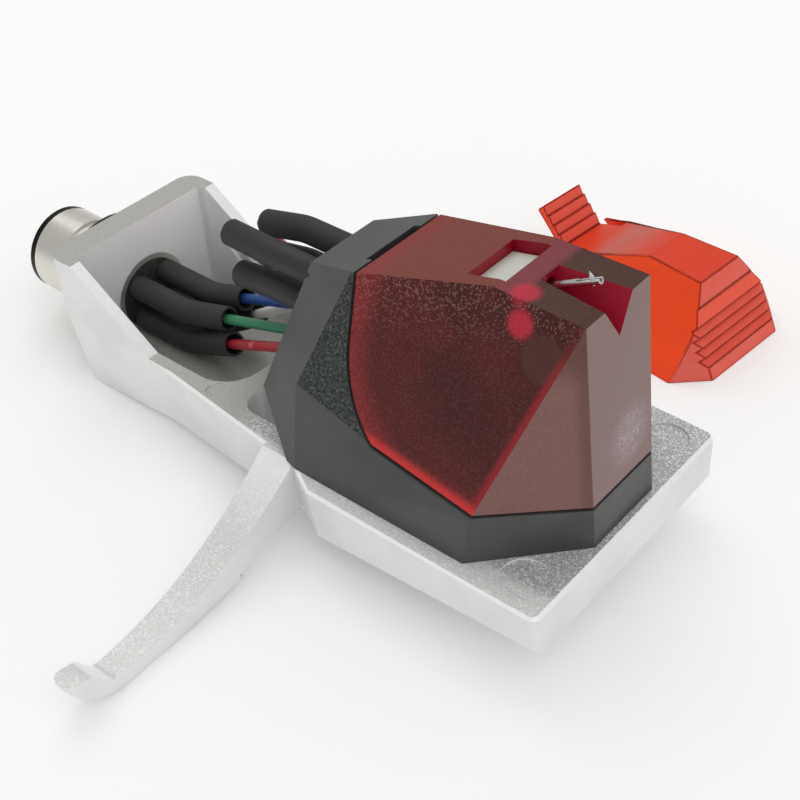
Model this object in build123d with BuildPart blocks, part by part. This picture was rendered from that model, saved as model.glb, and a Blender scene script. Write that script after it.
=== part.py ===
from build123d import *
from math import cos, radians, sin
import os

os.makedirs("parts", exist_ok=True)

# A faceted turntable cartridge on a bayonet headshell, lying upside down with its stylus up.
# Frame: origin on the axis of the connector tube at its free end, +X towards the stylus, +Z up.

# Levels
rest_z = -5.9  # table that the headshell lies on
plate_z = 1.8  # face of the plate that the cartridge is screwed to

# Connector tube
tube_d = 8.0
tube_wall = 0.7
tube_reach = 7.0  # free end to gasket
tube_edge = 0.25
tube_relief = 0.2  # the root is turned down behind the locating stretch
locating_length = 4.2
bayonet_d = 1.6
bayonet_behind = 1.0  # axis of the bayonet pin behind the locating stretch
bayonet_proud = 1.2
bayonet_relief = 0.4  # dimple in the insulator behind the bayonet pin
gasket_t = 3.0
gasket_d = 11.7
gasket_edge = 0.4
insulator_recess = 0.4
contact_d = 1.2
contact_pitch = 3.2
contact_proud = 0.8
contact_post = 5.0  # length of each contact in the tray

# Headshell casting
shell_length = 53.8
shell_wall_top = 7.6
back_wall = 2.5
rear_half = 8.3
rear_corner_r = 1.6
rim_wall = 1.05
rim_flat = 0.7
rim_run = 8.3  # the side rims slope down to the plate over this length
waist_x = 22.0
neck_x = 39.9
neck_half = 10.4
wing_x = 42.8
wing_half = 12.0
wing_corner_r = 0.7
wall_draft = 7.0
keel_slope = 4.6
keel_x = 12.0
plate_edge = 0.25
collar_r = 5.5
tray_floor_z = -3.0
tray_front_x = 30.1
tray_corner_r = 3.4
slot_pitch = 12.7
slot_width = 3.2
slot_rear_x = 31.8
slot_front_x = 54.6
pad_depth = 0.15
front_pad_r = 1.9
front_pad_inset = 2.9
rear_pad_r = 1.0
rear_pad_x = 29.0
rear_pad_half = 7.6

# Finger lift
lift_rear_root_x = 36.6
lift_rear_tip_x = 38.4
lift_front_tip_x = 40.4
lift_root_y = -9.0
lift_shoulder_y = -10.2
lift_knee_y = -16.3
lift_knee_z = -1.75
lift_seat_y = -29.2  # lowest place of the finger seat, just before the hooked tip
lift_seat_z = -4.5
lift_hook_y = -31.2
lift_hook_z = -2.75
lift_tip_y = -33.5
lift_tip_z = -2.05
lift_tip_t = 0.35
lift_tip_r = 0.85
lift_chin_y = -32.1
lift_chin_z = -4.4
lift_sole_y = -25.0
lift_sole_gap = 0.05
lift_calf_y = -16.9
lift_calf_z = -5.0
lift_root_t = 4.6

# Mounting screws
screw_d = 2.5
screw_x = 50.3
screw_head_d = 4.8
screw_head_h = 3.0
screw_socket = 2.0
screw_socket_depth = 1.4
screw_clearance = 0.1
screw_travel = 0.5  # the heads can slide this far in their recesses
screw_grip = 3.2
washer_d = 5.6
washer_t = 0.4
insert_d = 4.0
insert_length = 3.6

# Cartridge gem, corners of one side given by their distance from the middle plane
toe_x = 63.1
toe_half = 3.75
nose_lean = 1.8  # the front face leans back over its height
nose_half = 3.7
crown_z = 20.3
crease_behind = 9.3  # behind the toe, as the other places that end in _behind
brow_x = 42.5
brow_half = 4.7
brow_z = 17.3
tail_x = 37.1
tail_half = 3.5
tail_z = 15.3
hip_x = 39.5
hip_half = 8.65
hip_z = 8.2
girdle_x = 35.35
girdle_half = 8.2
girdle_z = 5.75
heel_x = 40.4
heel_half = 10.7
heel_bow = 1.0
flank_behind = 6.5
flank_half = 10.7
shoulder_behind = 6.9
shoulder_half = 10.15
shoulder_z = 5.5

# Seam between body and stylus holder
seam_bend_x = 43.2
seam_bend_z = 13.0
seam_mid_x = 44.45
seam_mid_z = 9.6
seam_foot_x = 47.3
seam_foot_z = 6.75
seam_front_z = 5.2
seam_gap = 0.3
seam_margin = 2.0
latch_half = 2.7
latch_length = 0.6
latch_depth = 1.2

# Generator in the body
pin_d = 1.2
pin_pitch_y = 4.0
pin_pitch_z = 3.1
pin_mid_z = 11.45
pin_proud = 4.6
terminal_x = 39.0  # front face of the terminal plate
terminal_t = 1.6
terminal_width = 8.2
terminal_height = 6.2
coil_d = 2.6
coil_core_d = 2.2
coil_share = 0.475  # coil length as a share of the pole pieces
coil_flange = 0.5
coil_clearance = 0.1
pole_d = 1.1
pole_reach = 0.2
snout_behind = 12.7
snout_half = 3.9
snout_top_z = 15.0
snout_clearance = 0.3

# Stylus suspension
window_behind = 8.9
window_length = 3.2
window_half = 2.6
carrier_half = 2.95
carrier_gap = 0.25
carrier_floor_z = 14.2
carrier_sink = 0.9
carrier_bevel = 0.7
cantilever_angle = 28.5
cantilever_tip_behind = 3.25
cantilever_tip_z = 21.33
cantilever_d = 0.55
cantilever_bore = 0.3
pivot_back = 7.6  # pivot behind the tip, along the cantilever
sleeve_d = 1.6
sleeve_bore = 1.26
sleeve_ahead = 0.6
sleeve_behind = 2.5
sleeve_end = 0.3
damper_t = 0.5
damper_clearance = 0.06
magnet_d = 0.92
magnet_bore = 0.5
magnet_length = 1.7
magnet_behind = 0.3
tie_d = 0.2
hole_clearance = 0.35
hole_short = 3.0  # the clearance hole stops this far from the tip
tip_back = 0.65
tip_d = 0.32
tip_shank = 0.33
tip_cone = 0.42
notch_behind = 7.2
notch_rear_half = 1.05
notch_front_half = 1.8
notch_rear_depth = 2.3
notch_front_depth = 2.75

# Leads
wire_d = 0.9
clip_d = 1.6
clip_length = 4.6
clip_end = 0.8
clip_slit = 0.4
sleeve_tube_d = 2.2
sleeve_tube_bore = 1.72
sleeve_bend_r = 5.0
rear_sleeve_gap = 0.3
front_sleeve_gap = 0.2
wire_bend_r = 1.2
wire_loop_r = 0.9  # tight loop where a wire turns back into its front sleeve

# Stylus guard, given in its own frame: forward, across and up from the middle of its front foot
guard_x = 56.6
guard_y = 31.0
guard_turn = -5.3
guard_foot_half = 5.0
guard_cheek_back = 2.7
guard_cheek_half = 7.95
guard_knee_z = 4.95
guard_knee_half = 4.85
guard_height = 7.75
guard_lean = 3.8
guard_brow_half = 2.85
guard_crease_back = 9.7
guard_crease_half = 2.5
guard_length = 19.8
guard_tail_z = 4.4
guard_mouth_back = 14.0
guard_wall = 1.1
guard_tab_half = 2.7
guard_tab_t = 0.7
guard_tab_run = 2.85
guard_tab_rise = 3.0
guard_notch = 0.9
guard_notch_depth = 2.9
guard_ridges = 4
guard_ridge = 0.22
guard_lip_up = 6.7  # shallow step across the front, measured up the slope from the foot
guard_lip = 0.12
guard_ribs = 4
guard_rib_up = 5.1
guard_rib = 0.45
guard_rib_pitch = 0.95
guard_rib_edge = 0.12

# Values that follow from the sizes above
shell_back = tube_reach + gasket_t
shell_front = shell_back + shell_length
tray_back = shell_back + back_wall
wall_depth = plate_z - rest_z
cove_r = plate_z - tray_floor_z
slot_half = slot_pitch / 2
washer_seat_z = rest_z + screw_head_h + washer_t
recess_d = washer_d + 2 * screw_clearance
tube_bore = tube_d - 2 * tube_wall
root_d = tube_d - 2 * tube_relief
bayonet_x = locating_length + bayonet_behind
post_end = tray_back + contact_post
rear_clip_start = post_end - (clip_length - clip_end)
rear_clip_end = rear_clip_start + clip_length
terminal_back = terminal_x - terminal_t
pin_end = terminal_back - pin_proud
front_clip_end = pin_end - clip_end
nose_x = toe_x - nose_lean
crease_x = toe_x - crease_behind
flank_x = toe_x - flank_behind
shoulder_x = toe_x - shoulder_behind
window_front_x = toe_x - window_behind
window_rear_x = window_front_x - window_length
notch_rear_x = toe_x - notch_behind
snout_front_x = toe_x - snout_behind
cantilever_tip_x = toe_x - cantilever_tip_behind
coil_length = coil_share * (snout_front_x - terminal_x)
coil_end = terminal_x + coil_length
axis_x = cos(radians(cantilever_angle))
axis_z = sin(radians(cantilever_angle))
through = 100.0
sides = (("left", -1), ("right", 1))


def finish(part, name):
    part.label = name
    export_step(part, f"parts/{name}.step")


def facet(core, *corners):
    """Plane through three corners, with its normal pointing away from the core."""
    a, b, c = (Vector(*corner) for corner in corners)
    normal = (b - a).cross(c - a)
    if normal.dot(Vector(*core) - a) > 0:
        normal = normal * -1
    return Plane(origin=a, x_dir=b - a, z_dir=normal)


def along(distance, lift=0.0):
    """Point behind the cantilever's tip, measured along it, and lifted square to it."""
    x = cantilever_tip_x - distance * axis_x - lift * axis_z
    z = cantilever_tip_z - distance * axis_z + lift * axis_x
    return (x, 0, z)


def axis_plane(distance):
    """Plane square to the cantilever, with its normal pointing to the tip."""
    return Plane(origin=along(distance), x_dir=(0, 1, 0), z_dir=(axis_x, 0, axis_z))


# Gem facets
gem_core = ((tail_x + nose_x) / 2, 0, (plate_z + crown_z) / 2)


def gem_facets():
    """The flat facets that the body and the stylus holder share."""
    planes = [
        Plane.XY.offset(crown_z),
        facet(gem_core, (nose_x, 1, crown_z), (nose_x, -1, crown_z), (toe_x, 0, plate_z)),
        facet(gem_core, (brow_x, 1, brow_z), (brow_x, -1, brow_z), (crease_x, 0, crown_z)),
        facet(gem_core, (brow_x, 1, brow_z), (brow_x, -1, brow_z), (tail_x, 0, tail_z)),
        facet(gem_core, (tail_x, 1, tail_z), (tail_x, -1, tail_z), (girdle_x, 0, girdle_z)),
        facet(gem_core, (girdle_x, 1, girdle_z), (girdle_x, -1, girdle_z), (heel_x - heel_bow, 0, plate_z)),
    ]
    for name, side in sides:
        nose = (nose_x, side * nose_half, crown_z)
        toe = (toe_x, side * toe_half, plate_z)
        flank = (flank_x, side * flank_half, plate_z)
        shoulder = (shoulder_x, side * shoulder_half, shoulder_z)
        brow = (brow_x, side * brow_half, brow_z)
        tail = (tail_x, side * tail_half, tail_z)
        hip = (hip_x, side * hip_half, hip_z)
        girdle = (girdle_x, side * girdle_half, girdle_z)
        heel = (heel_x, side * heel_half, plate_z)
        planes.append(facet(gem_core, nose, toe, flank))
        planes.append(facet(gem_core, nose, brow, shoulder))
        planes.append(facet(gem_core, flank, heel, shoulder))
        planes.append(facet(gem_core, hip, heel, shoulder))
        planes.append(facet(gem_core, tail, hip, girdle))
        planes.append(facet(gem_core, hip, girdle, heel))
    return planes


# Headshell casting
half_outline = (
    (shell_back, 0),
    (shell_back, rear_half),
    (waist_x, rear_half),
    (neck_x, neck_half),
    (wing_x, wing_half),
    (shell_front + wall_depth, wing_half),
    (shell_front + wall_depth, 0),
)
keel = Plane(
    origin=(keel_x, 0, rest_z),
    x_dir=(cos(radians(keel_slope)), 0, sin(radians(keel_slope))),
    z_dir=(-sin(radians(keel_slope)), 0, cos(radians(keel_slope))),
)
nose_wall = Plane(origin=(shell_front, 0, plate_z), x_dir=(0, 1, 0), z_dir=keel.x_dir)
heel_bevel = Plane(origin=(keel_x, 0, rest_z), x_dir=(0, 1, 0), z_dir=(1, 0, 1))

with BuildPart() as tray_void:
    with BuildSketch(Plane.XY.offset(tray_floor_z)) as tray_plan:
        with Locations((tray_back, 0)):
            Rectangle(tray_front_x - tray_back, 2 * (rear_half - rim_wall), align=(Align.MIN, Align.CENTER))
        fillet(tray_plan.vertices().group_by(Axis.X)[-1], tray_corner_r)
        fillet(tray_plan.vertices().group_by(Axis.X)[0], rear_corner_r / 2)
    extrude(amount=shell_wall_top - tray_floor_z)
    with BuildSketch(Plane.XZ):
        with BuildLine():
            Polyline(
                (tray_front_x, plate_z),
                (tray_front_x, shell_wall_top),
                (tray_back, shell_wall_top),
                (tray_back, tray_floor_z),
                (tray_front_x - cove_r, tray_floor_z),
            )
            RadiusArc((tray_front_x - cove_r, tray_floor_z), (tray_front_x, plate_z), -cove_r)
        make_face()
    extrude(amount=rear_half, both=True, mode=Mode.INTERSECT)

with BuildPart() as lift_span:
    with BuildSketch() as lift_plan:
        Polygon(
            (lift_rear_root_x, lift_root_y),
            (lift_rear_tip_x, lift_tip_y),
            (lift_front_tip_x, lift_tip_y),
            (neck_x, lift_root_y),
            align=None,
        )
        fillet(lift_plan.vertices().group_by(Axis.Y)[0], lift_tip_r)
    extrude(amount=through, both=True)

with BuildPart() as finger_lift:
    with BuildSketch(Plane.YZ.offset(lift_rear_root_x)):
        with BuildLine():
            Line((lift_root_y, plate_z), (lift_shoulder_y, plate_z))
            Spline(
                (lift_shoulder_y, plate_z),
                (lift_knee_y, lift_knee_z),
                ((lift_knee_y + lift_seat_y) / 2, (lift_knee_z + 4 * lift_seat_z) / 5),
                (lift_seat_y, lift_seat_z),
                tangents=((-1, -0.7), (-1, 0.0)),
            )
            Spline(
                (lift_seat_y, lift_seat_z),
                (lift_hook_y, lift_hook_z),
                (lift_tip_y, lift_tip_z),
                tangents=((-1, 0.0), (-1, 0.2)),
            )
            Line((lift_tip_y, lift_tip_z), (lift_tip_y, lift_tip_z - lift_tip_t))
            Spline(
                (lift_tip_y, lift_tip_z - lift_tip_t),
                (lift_chin_y, lift_chin_z),
                (lift_sole_y, rest_z + lift_sole_gap),
                (lift_calf_y, lift_calf_z),
                (lift_root_y, plate_z - lift_root_t),
                tangents=((0.5, -1), (1, 0.2)),
            )
            Line((lift_root_y, plate_z - lift_root_t), (lift_root_y, plate_z))
        make_face()
    extrude(amount=lift_front_tip_x - lift_rear_root_x)
    add(lift_span.part, mode=Mode.INTERSECT)

with BuildPart() as headshell_casting:
    with BuildSketch(Plane.XY.offset(plate_z)) as outline:
        with BuildLine():
            Polyline(*half_outline)
            mirror(about=Plane.XZ)
        make_face()
        fillet(outline.vertices().group_by(Axis.X)[0], rear_corner_r)
    extrude(amount=-wall_depth, taper=wall_draft)
    split(bisect_by=keel, keep=Keep.TOP)
    split(bisect_by=nose_wall, keep=Keep.BOTTOM)
    split(bisect_by=heel_bevel, keep=Keep.TOP)
    front_face = headshell_casting.faces().sort_by(Axis.X)[-1]
    fillet(front_face.edges().sort_by(lambda edge: abs(edge.center().Y))[-2:], wing_corner_r)
    plate_face = headshell_casting.faces().sort_by(Axis.Z)[-1]
    chamfer(plate_face.edges().filter_by(lambda edge: edge.center().X > waist_x), plate_edge)
    with BuildSketch(Plane.XY.offset(plate_z)) as walls:
        add(outline.sketch)
        with Locations((shell_back, 0)):
            Rectangle(rim_run + back_wall + rim_flat, 2 * rear_half, align=(Align.MIN, Align.CENTER),
                      mode=Mode.INTERSECT)
    extrude(amount=shell_wall_top - plate_z)
    with BuildSketch(Plane.XZ):
        with BuildLine():
            Polyline(
                (tray_back + rim_flat, shell_wall_top),
                (tray_back + rim_flat + rim_run, plate_z),
                (tray_back + rim_flat + rim_run, shell_wall_top),
                close=True,
            )
        make_face()
    extrude(amount=rear_half, both=True, mode=Mode.SUBTRACT)
    with BuildSketch(Plane.YZ.offset(shell_back)):
        Circle(collar_r)
    extrude(amount=back_wall)
    add(tray_void.part, mode=Mode.SUBTRACT)
    with BuildSketch(Plane.YZ.offset(shell_back)):
        Circle(root_d / 2)
    extrude(amount=back_wall, mode=Mode.SUBTRACT)
    add(finger_lift.part)
    with BuildSketch(Plane.XY.offset(plate_z)):
        with Locations(((slot_rear_x + slot_front_x) / 2, slot_half),
                       ((slot_rear_x + slot_front_x) / 2, -slot_half)):
            SlotOverall(slot_front_x - slot_rear_x, slot_width)
    extrude(amount=-2 * wall_depth, mode=Mode.SUBTRACT)
    with BuildSketch(Plane.XY.offset(washer_seat_z)):
        with Locations((screw_x, slot_half), (screw_x, -slot_half)):
            SlotOverall(recess_d + screw_travel, recess_d)
    extrude(amount=-wall_depth, mode=Mode.SUBTRACT)
    with BuildSketch(Plane.XY.offset(plate_z)):
        with Locations((shell_front - front_pad_inset, wing_half - front_pad_inset),
                       (shell_front - front_pad_inset, front_pad_inset - wing_half)):
            Circle(front_pad_r)
        with Locations((rear_pad_x, rear_pad_half), (rear_pad_x, -rear_pad_half)):
            Circle(rear_pad_r)
    extrude(amount=-pad_depth, mode=Mode.SUBTRACT)
finish(headshell_casting.part, "headshell_casting")

# Connector
with BuildPart() as connector_tube:
    with BuildSketch(Plane.XZ):
        with BuildLine():
            Polyline(
                (0, tube_bore / 2),
                (0, tube_d / 2 - tube_edge),
                (tube_edge, tube_d / 2),
                (locating_length, tube_d / 2),
                (locating_length, root_d / 2),
                (tray_back, root_d / 2),
                (tray_back, tube_bore / 2),
                close=True,
            )
        make_face()
    revolve(axis=Axis.X)
    with Locations(Location((bayonet_x, 0, 0))):
        Cylinder(bayonet_d / 2, tube_d, align=(Align.CENTER, Align.CENTER, Align.MAX), mode=Mode.SUBTRACT)
finish(connector_tube.part, "connector_tube")

with BuildPart() as bayonet_pin:
    with BuildSketch(Plane.XY.offset(-tube_bore / 2)):
        with Locations((bayonet_x, 0)):
            Circle(bayonet_d / 2)
    extrude(amount=-(tube_wall + bayonet_proud))
    chamfer(bayonet_pin.edges().sort_by(Axis.Z)[0], tube_edge)
finish(bayonet_pin.part, "bayonet_pin")

with BuildPart() as collar_gasket:
    with BuildSketch(Plane.YZ.offset(tube_reach)):
        Circle(gasket_d / 2)
        Circle(root_d / 2, mode=Mode.SUBTRACT)
    extrude(amount=gasket_t)
    fillet(collar_gasket.edges().filter_by(GeomType.CIRCLE).sort_by(SortBy.RADIUS)[-2:], gasket_edge)
finish(collar_gasket.part, "collar_gasket")

with BuildPart() as contact_insulator:
    with BuildSketch(Plane.YZ.offset(insulator_recess)):
        Circle(tube_bore / 2)
        with GridLocations(contact_pitch, contact_pitch, 2, 2):
            Circle(contact_d / 2, mode=Mode.SUBTRACT)
    extrude(amount=tray_back - insulator_recess)
    with BuildSketch(Plane.XY.offset(-tube_bore / 2)):
        with Locations((bayonet_x, 0)):
            Circle(bayonet_d / 2)
    extrude(amount=bayonet_relief, mode=Mode.SUBTRACT)
finish(contact_insulator.part, "contact_insulator")

# Mounting screws, washers and inserts
for name, side in sides:
    screw_axis = Plane(origin=(screw_x, side * slot_half, 0))

    with BuildPart() as mounting_screw:
        with BuildSketch(screw_axis.offset(rest_z)):
            Circle(screw_head_d / 2)
            RegularPolygon(screw_socket / 2, 6, major_radius=False, mode=Mode.SUBTRACT)
        extrude(amount=screw_socket_depth)
        with BuildSketch(screw_axis.offset(rest_z + screw_socket_depth)):
            Circle(screw_head_d / 2)
        extrude(amount=screw_head_h - screw_socket_depth)
        with BuildSketch(screw_axis.offset(rest_z + screw_head_h)):
            Circle(screw_d / 2)
        extrude(amount=plate_z + screw_grip - rest_z - screw_head_h)
    finish(mounting_screw.part, f"mounting_screw_{name}")

    with BuildPart() as screw_washer:
        with BuildSketch(screw_axis.offset(rest_z + screw_head_h)):
            Circle(washer_d / 2)
            Circle(screw_d / 2 + screw_clearance, mode=Mode.SUBTRACT)
        extrude(amount=washer_t)
    finish(screw_washer.part, f"screw_washer_{name}")

    with BuildPart() as mount_insert:
        with BuildSketch(screw_axis.offset(plate_z)):
            Circle(insert_d / 2)
            Circle(screw_d / 2 + screw_clearance / 2, mode=Mode.SUBTRACT)
        extrude(amount=insert_length)
    finish(mount_insert.part, f"mount_insert_{name}")

# Gem that the body and the stylus holder are cut from
with BuildPart() as gem:
    with BuildSketch(Plane.XY.offset(plate_z)):
        with Locations((tail_x - heel_half, 0)):
            Rectangle(toe_x - tail_x + 2 * heel_half, 3 * heel_half, align=(Align.MIN, Align.CENTER))
    extrude(amount=crown_z)
    for plane in gem_facets():
        split(bisect_by=plane, keep=Keep.BOTTOM)

seam_line = (
    (seam_bend_x - (crown_z - seam_bend_z) * (seam_bend_x - brow_x) / (brow_z - seam_bend_z), crown_z),
    (seam_bend_x, seam_bend_z),
    (seam_mid_x, seam_mid_z),
    (seam_foot_x, seam_foot_z),
    (toe_x, seam_front_z),
)

with BuildPart() as front_zone:
    with BuildSketch(Plane.XZ):
        with BuildLine():
            Line(seam_line[0], seam_line[1])
            ThreePointArc(*seam_line[1:4])
            Polyline(seam_line[3], seam_line[4], (toe_x, crown_z), seam_line[0])
        make_face()
    extrude(amount=through, both=True)

with BuildPart() as holder_zone:
    with BuildSketch(Plane.XZ) as holder_side:
        with BuildLine():
            Line(seam_line[0], seam_line[1])
            ThreePointArc(*seam_line[1:4])
            Polyline(seam_line[3], seam_line[4], (toe_x + seam_margin, seam_front_z),
                     (toe_x + seam_margin, crown_z + seam_margin),
                     (seam_line[0][0], crown_z + seam_margin), seam_line[0])
        make_face()
        offset(amount=-seam_gap, kind=Kind.INTERSECTION)
    extrude(amount=through, both=True)

# Cartridge body
terminal_axis = Plane.YZ.offset(terminal_x)

with BuildPart() as cartridge_body:
    add(gem.part)
    add(front_zone.part, mode=Mode.SUBTRACT)
    with BuildSketch(Plane.XZ):
        with BuildLine():
            Polyline((brow_x, plate_z + insert_length), (brow_x, snout_top_z), (snout_front_x, snout_top_z),
                     (snout_front_x, plate_z + insert_length), close=True)
        make_face()
    extrude(amount=snout_half, both=True)
    with BuildSketch(terminal_axis):
        with Locations((0, pin_mid_z)):
            Rectangle(terminal_width, terminal_height)
    extrude(amount=-through, mode=Mode.SUBTRACT)
    with BuildSketch(terminal_axis):
        with Locations((0, pin_mid_z)):
            with GridLocations(pin_pitch_y, pin_pitch_z, 2, 2):
                Circle(coil_d / 2 + coil_clearance / 2)
    extrude(amount=coil_length + coil_clearance, mode=Mode.SUBTRACT)
    with BuildSketch(terminal_axis):
        with Locations((0, pin_mid_z)):
            with GridLocations(pin_pitch_y, pin_pitch_z, 2, 2):
                Circle(pole_d / 2)
    extrude(amount=through, mode=Mode.SUBTRACT)
    with BuildSketch(Plane.XY.offset(plate_z)):
        with Locations((screw_x, slot_half), (screw_x, -slot_half)):
            Circle(insert_d / 2)
    extrude(amount=insert_length, mode=Mode.SUBTRACT)
    with BuildSketch(Plane.XY.offset(brow_z - latch_depth)):
        with Locations((brow_x - latch_length, 0)):
            Rectangle(2 * latch_length, 2 * latch_half, align=(Align.MIN, Align.CENTER))
    extrude(amount=crown_z, mode=Mode.SUBTRACT)
finish(cartridge_body.part, "cartridge_body")

with BuildPart() as terminal_plate:
    with BuildSketch(terminal_axis):
        with Locations((0, pin_mid_z)):
            Rectangle(terminal_width, terminal_height)
            with GridLocations(pin_pitch_y, pin_pitch_z, 2, 2):
                Circle(pin_d / 2, mode=Mode.SUBTRACT)
    extrude(amount=-terminal_t)
finish(terminal_plate.part, "terminal_plate")

# Stylus holder
carrier_front_x = window_front_x + carrier_gap
crown_slope = (crown_z - brow_z) / (crease_x - brow_x)


def crown_at(x):
    """Height of the holder's top at x."""
    return min(crown_z, brow_z + crown_slope * (x - brow_x))


with BuildPart() as stylus_holder:
    add(gem.part)
    add(holder_zone.part, mode=Mode.INTERSECT)
    with BuildSketch(Plane.YZ.offset(snout_front_x + snout_clearance)):
        Rectangle(2 * (snout_half + snout_clearance), snout_top_z + snout_clearance,
                  align=(Align.CENTER, Align.MIN))
    extrude(amount=-through, mode=Mode.SUBTRACT)
    with BuildSketch(Plane.XY.offset(carrier_floor_z)):
        with Locations((snout_front_x, 0)):
            Rectangle(carrier_front_x - snout_front_x, 2 * carrier_half, align=(Align.MIN, Align.CENTER))
    extrude(amount=crown_at(snout_front_x) - carrier_sink - carrier_floor_z, mode=Mode.SUBTRACT)
    with BuildSketch(Plane.XY.offset(carrier_floor_z)):
        with Locations((window_rear_x, 0)):
            Rectangle(window_front_x - window_rear_x, 2 * window_half, align=(Align.MIN, Align.CENTER))
    extrude(amount=crown_z, mode=Mode.SUBTRACT)
    with BuildSketch(Plane.YZ.offset(notch_rear_x)) as notch_rear:
        Polygon((-notch_rear_half, crown_z), (notch_rear_half, crown_z), (0, crown_z - notch_rear_depth),
                align=None)
    with BuildSketch(Plane.YZ.offset(toe_x)) as notch_front:
        Polygon((-notch_front_half, crown_z), (notch_front_half, crown_z), (0, crown_z - notch_front_depth),
                align=None)
    loft(sections=(notch_rear.sketch, notch_front.sketch), mode=Mode.SUBTRACT)
    with BuildSketch(axis_plane(pivot_back)):
        Circle(cantilever_d / 2 + hole_clearance)
    extrude(amount=pivot_back - hole_short, mode=Mode.SUBTRACT)
finish(stylus_holder.part, "stylus_holder")

with BuildPart() as suspension_carrier:
    with BuildSketch(Plane.XZ):
        with BuildLine():
            Polyline(
                (window_rear_x, carrier_floor_z),
                (window_rear_x, crown_at(window_rear_x) - carrier_sink),
                (window_front_x, crown_at(window_front_x) - carrier_sink),
                (window_front_x, carrier_floor_z),
                close=True,
            )
        make_face()
    extrude(amount=window_half - screw_clearance, both=True)
    chamfer(suspension_carrier.edges().filter_by(Axis.Z).group_by(Axis.X)[-1], carrier_bevel)
    with BuildSketch(axis_plane(pivot_back)):
        Circle(sleeve_d / 2)
    extrude(amount=through, both=True, mode=Mode.SUBTRACT)
finish(suspension_carrier.part, "suspension_carrier")

with BuildPart() as suspension_sleeve:
    with BuildSketch(axis_plane(pivot_back + sleeve_behind)):
        Circle(sleeve_d / 2)
        Circle(tie_d / 2, mode=Mode.SUBTRACT)
    extrude(amount=sleeve_end)
    with BuildSketch(axis_plane(pivot_back + sleeve_behind - sleeve_end)):
        Circle(sleeve_d / 2)
        Circle(sleeve_bore / 2, mode=Mode.SUBTRACT)
    extrude(amount=sleeve_behind - sleeve_end + sleeve_ahead)
finish(suspension_sleeve.part, "suspension_sleeve")

with BuildPart() as damper_ring:
    with BuildSketch(axis_plane(pivot_back + damper_t / 2)):
        Circle(sleeve_bore / 2 - damper_clearance)
        Circle(cantilever_d / 2 + damper_clearance, mode=Mode.SUBTRACT)
    extrude(amount=damper_t)
finish(damper_ring.part, "damper_ring")

with BuildPart() as tie_wire:
    with BuildSketch(axis_plane(pivot_back + sleeve_behind)):
        Circle(tie_d / 2)
    extrude(amount=sleeve_behind)
finish(tie_wire.part, "tie_wire")

with BuildPart() as magnet:
    with BuildSketch(axis_plane(pivot_back + magnet_behind + magnet_length)):
        Circle(magnet_d / 2)
        Circle(magnet_bore / 2, mode=Mode.SUBTRACT)
    extrude(amount=magnet_length)
finish(magnet.part, "magnet")

with BuildPart() as cantilever:
    with BuildSketch(axis_plane(pivot_back + magnet_behind)):
        Circle(cantilever_d / 2)
        Circle(cantilever_bore / 2, mode=Mode.SUBTRACT)
    extrude(amount=pivot_back + magnet_behind)
    with BuildSketch(axis_plane(tip_back)):
        with Locations((0, cantilever_d / 2)):
            Rectangle(2 * cantilever_d, cantilever_d / 2)
    extrude(amount=2 * tip_back, both=True, mode=Mode.SUBTRACT)
    with BuildSketch(Plane(origin=along(tip_back), x_dir=(0, 1, 0), z_dir=(-axis_z, 0, axis_x))):
        Circle(tip_d / 2)
    extrude(amount=2 * cantilever_d, both=True, mode=Mode.SUBTRACT)
finish(cantilever.part, "cantilever")

with BuildPart() as stylus_tip:
    with BuildSketch(Plane(origin=along(tip_back), x_dir=(axis_x, 0, axis_z), z_dir=(0, -1, 0))):
        with BuildLine():
            Polyline((0, -cantilever_d / 2), (tip_d / 2, -cantilever_d / 2), (tip_d / 2, tip_shank),
                     (0, tip_shank + tip_cone), close=True)
        make_face()
    revolve(axis=Axis(along(tip_back), (-axis_z, 0, axis_x)))
finish(stylus_tip.part, "stylus_tip")

# Leads: contact in the tube and output pin of each colour, with its route in sleeve diameters.
# The sleeve's mouth is given from the bend behind the contact, the other places from the bend before the pin.
near, far = -1, 1
lower, upper = -1, 1
leads = {
    "green": dict(contact=(near, upper), output=(far, lower), mouth=(2.15, 0.27, 0.45),
                  tail=(-2.0, 0.0, -0.4), turn=-0.1, back=(-0.1, -1.35)),
    "red": dict(contact=(near, lower), output=(far, upper), mouth=(2.6, -0.05, 1.1),
                tail=(-2.0, 0.0, -0.5), turn=1.0, back=(1.2, -2.55)),
    "blue": dict(contact=(far, upper), output=(near, lower), mouth=(1.82, 0.1, 0.55),
                 tail=(-1.7, 0.0, -0.2), turn=-0.65, back=(0.7, -1.3)),
    "white": dict(contact=(far, lower), output=(near, upper), mouth=(2.0, 0.5, 1.1),
                  tail=(-2.15, 0.15, -0.1), turn=0.45, back=(1.1, -2.2)),
}


def from_bend(bend, steps):
    """Point that lies some sleeve diameters away from a bend."""
    return tuple(place + step * sleeve_tube_d for place, step in zip(bend, steps))


def on_line(a, b, x):
    """Point at x on the line through a and b."""
    share = (x - a[0]) / (b[0] - a[0])
    return tuple(p + share * (q - p) for p, q in zip(a, b))


def tube_along(points, radii, outer, inner=0.0):
    """Tube swept along straight runs joined by arcs."""
    with BuildPart() as tube:
        with BuildLine() as path:
            if len(points) == 2:
                Line(*points)
            else:
                FilletPolyline(*points, radius=radii)
        with BuildSketch(Plane(origin=path.line @ 0, z_dir=path.line % 0)):
            Circle(outer / 2)
            if inner:
                Circle(inner / 2, mode=Mode.SUBTRACT)
        sweep(path=path.line)
    return tube.part


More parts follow.
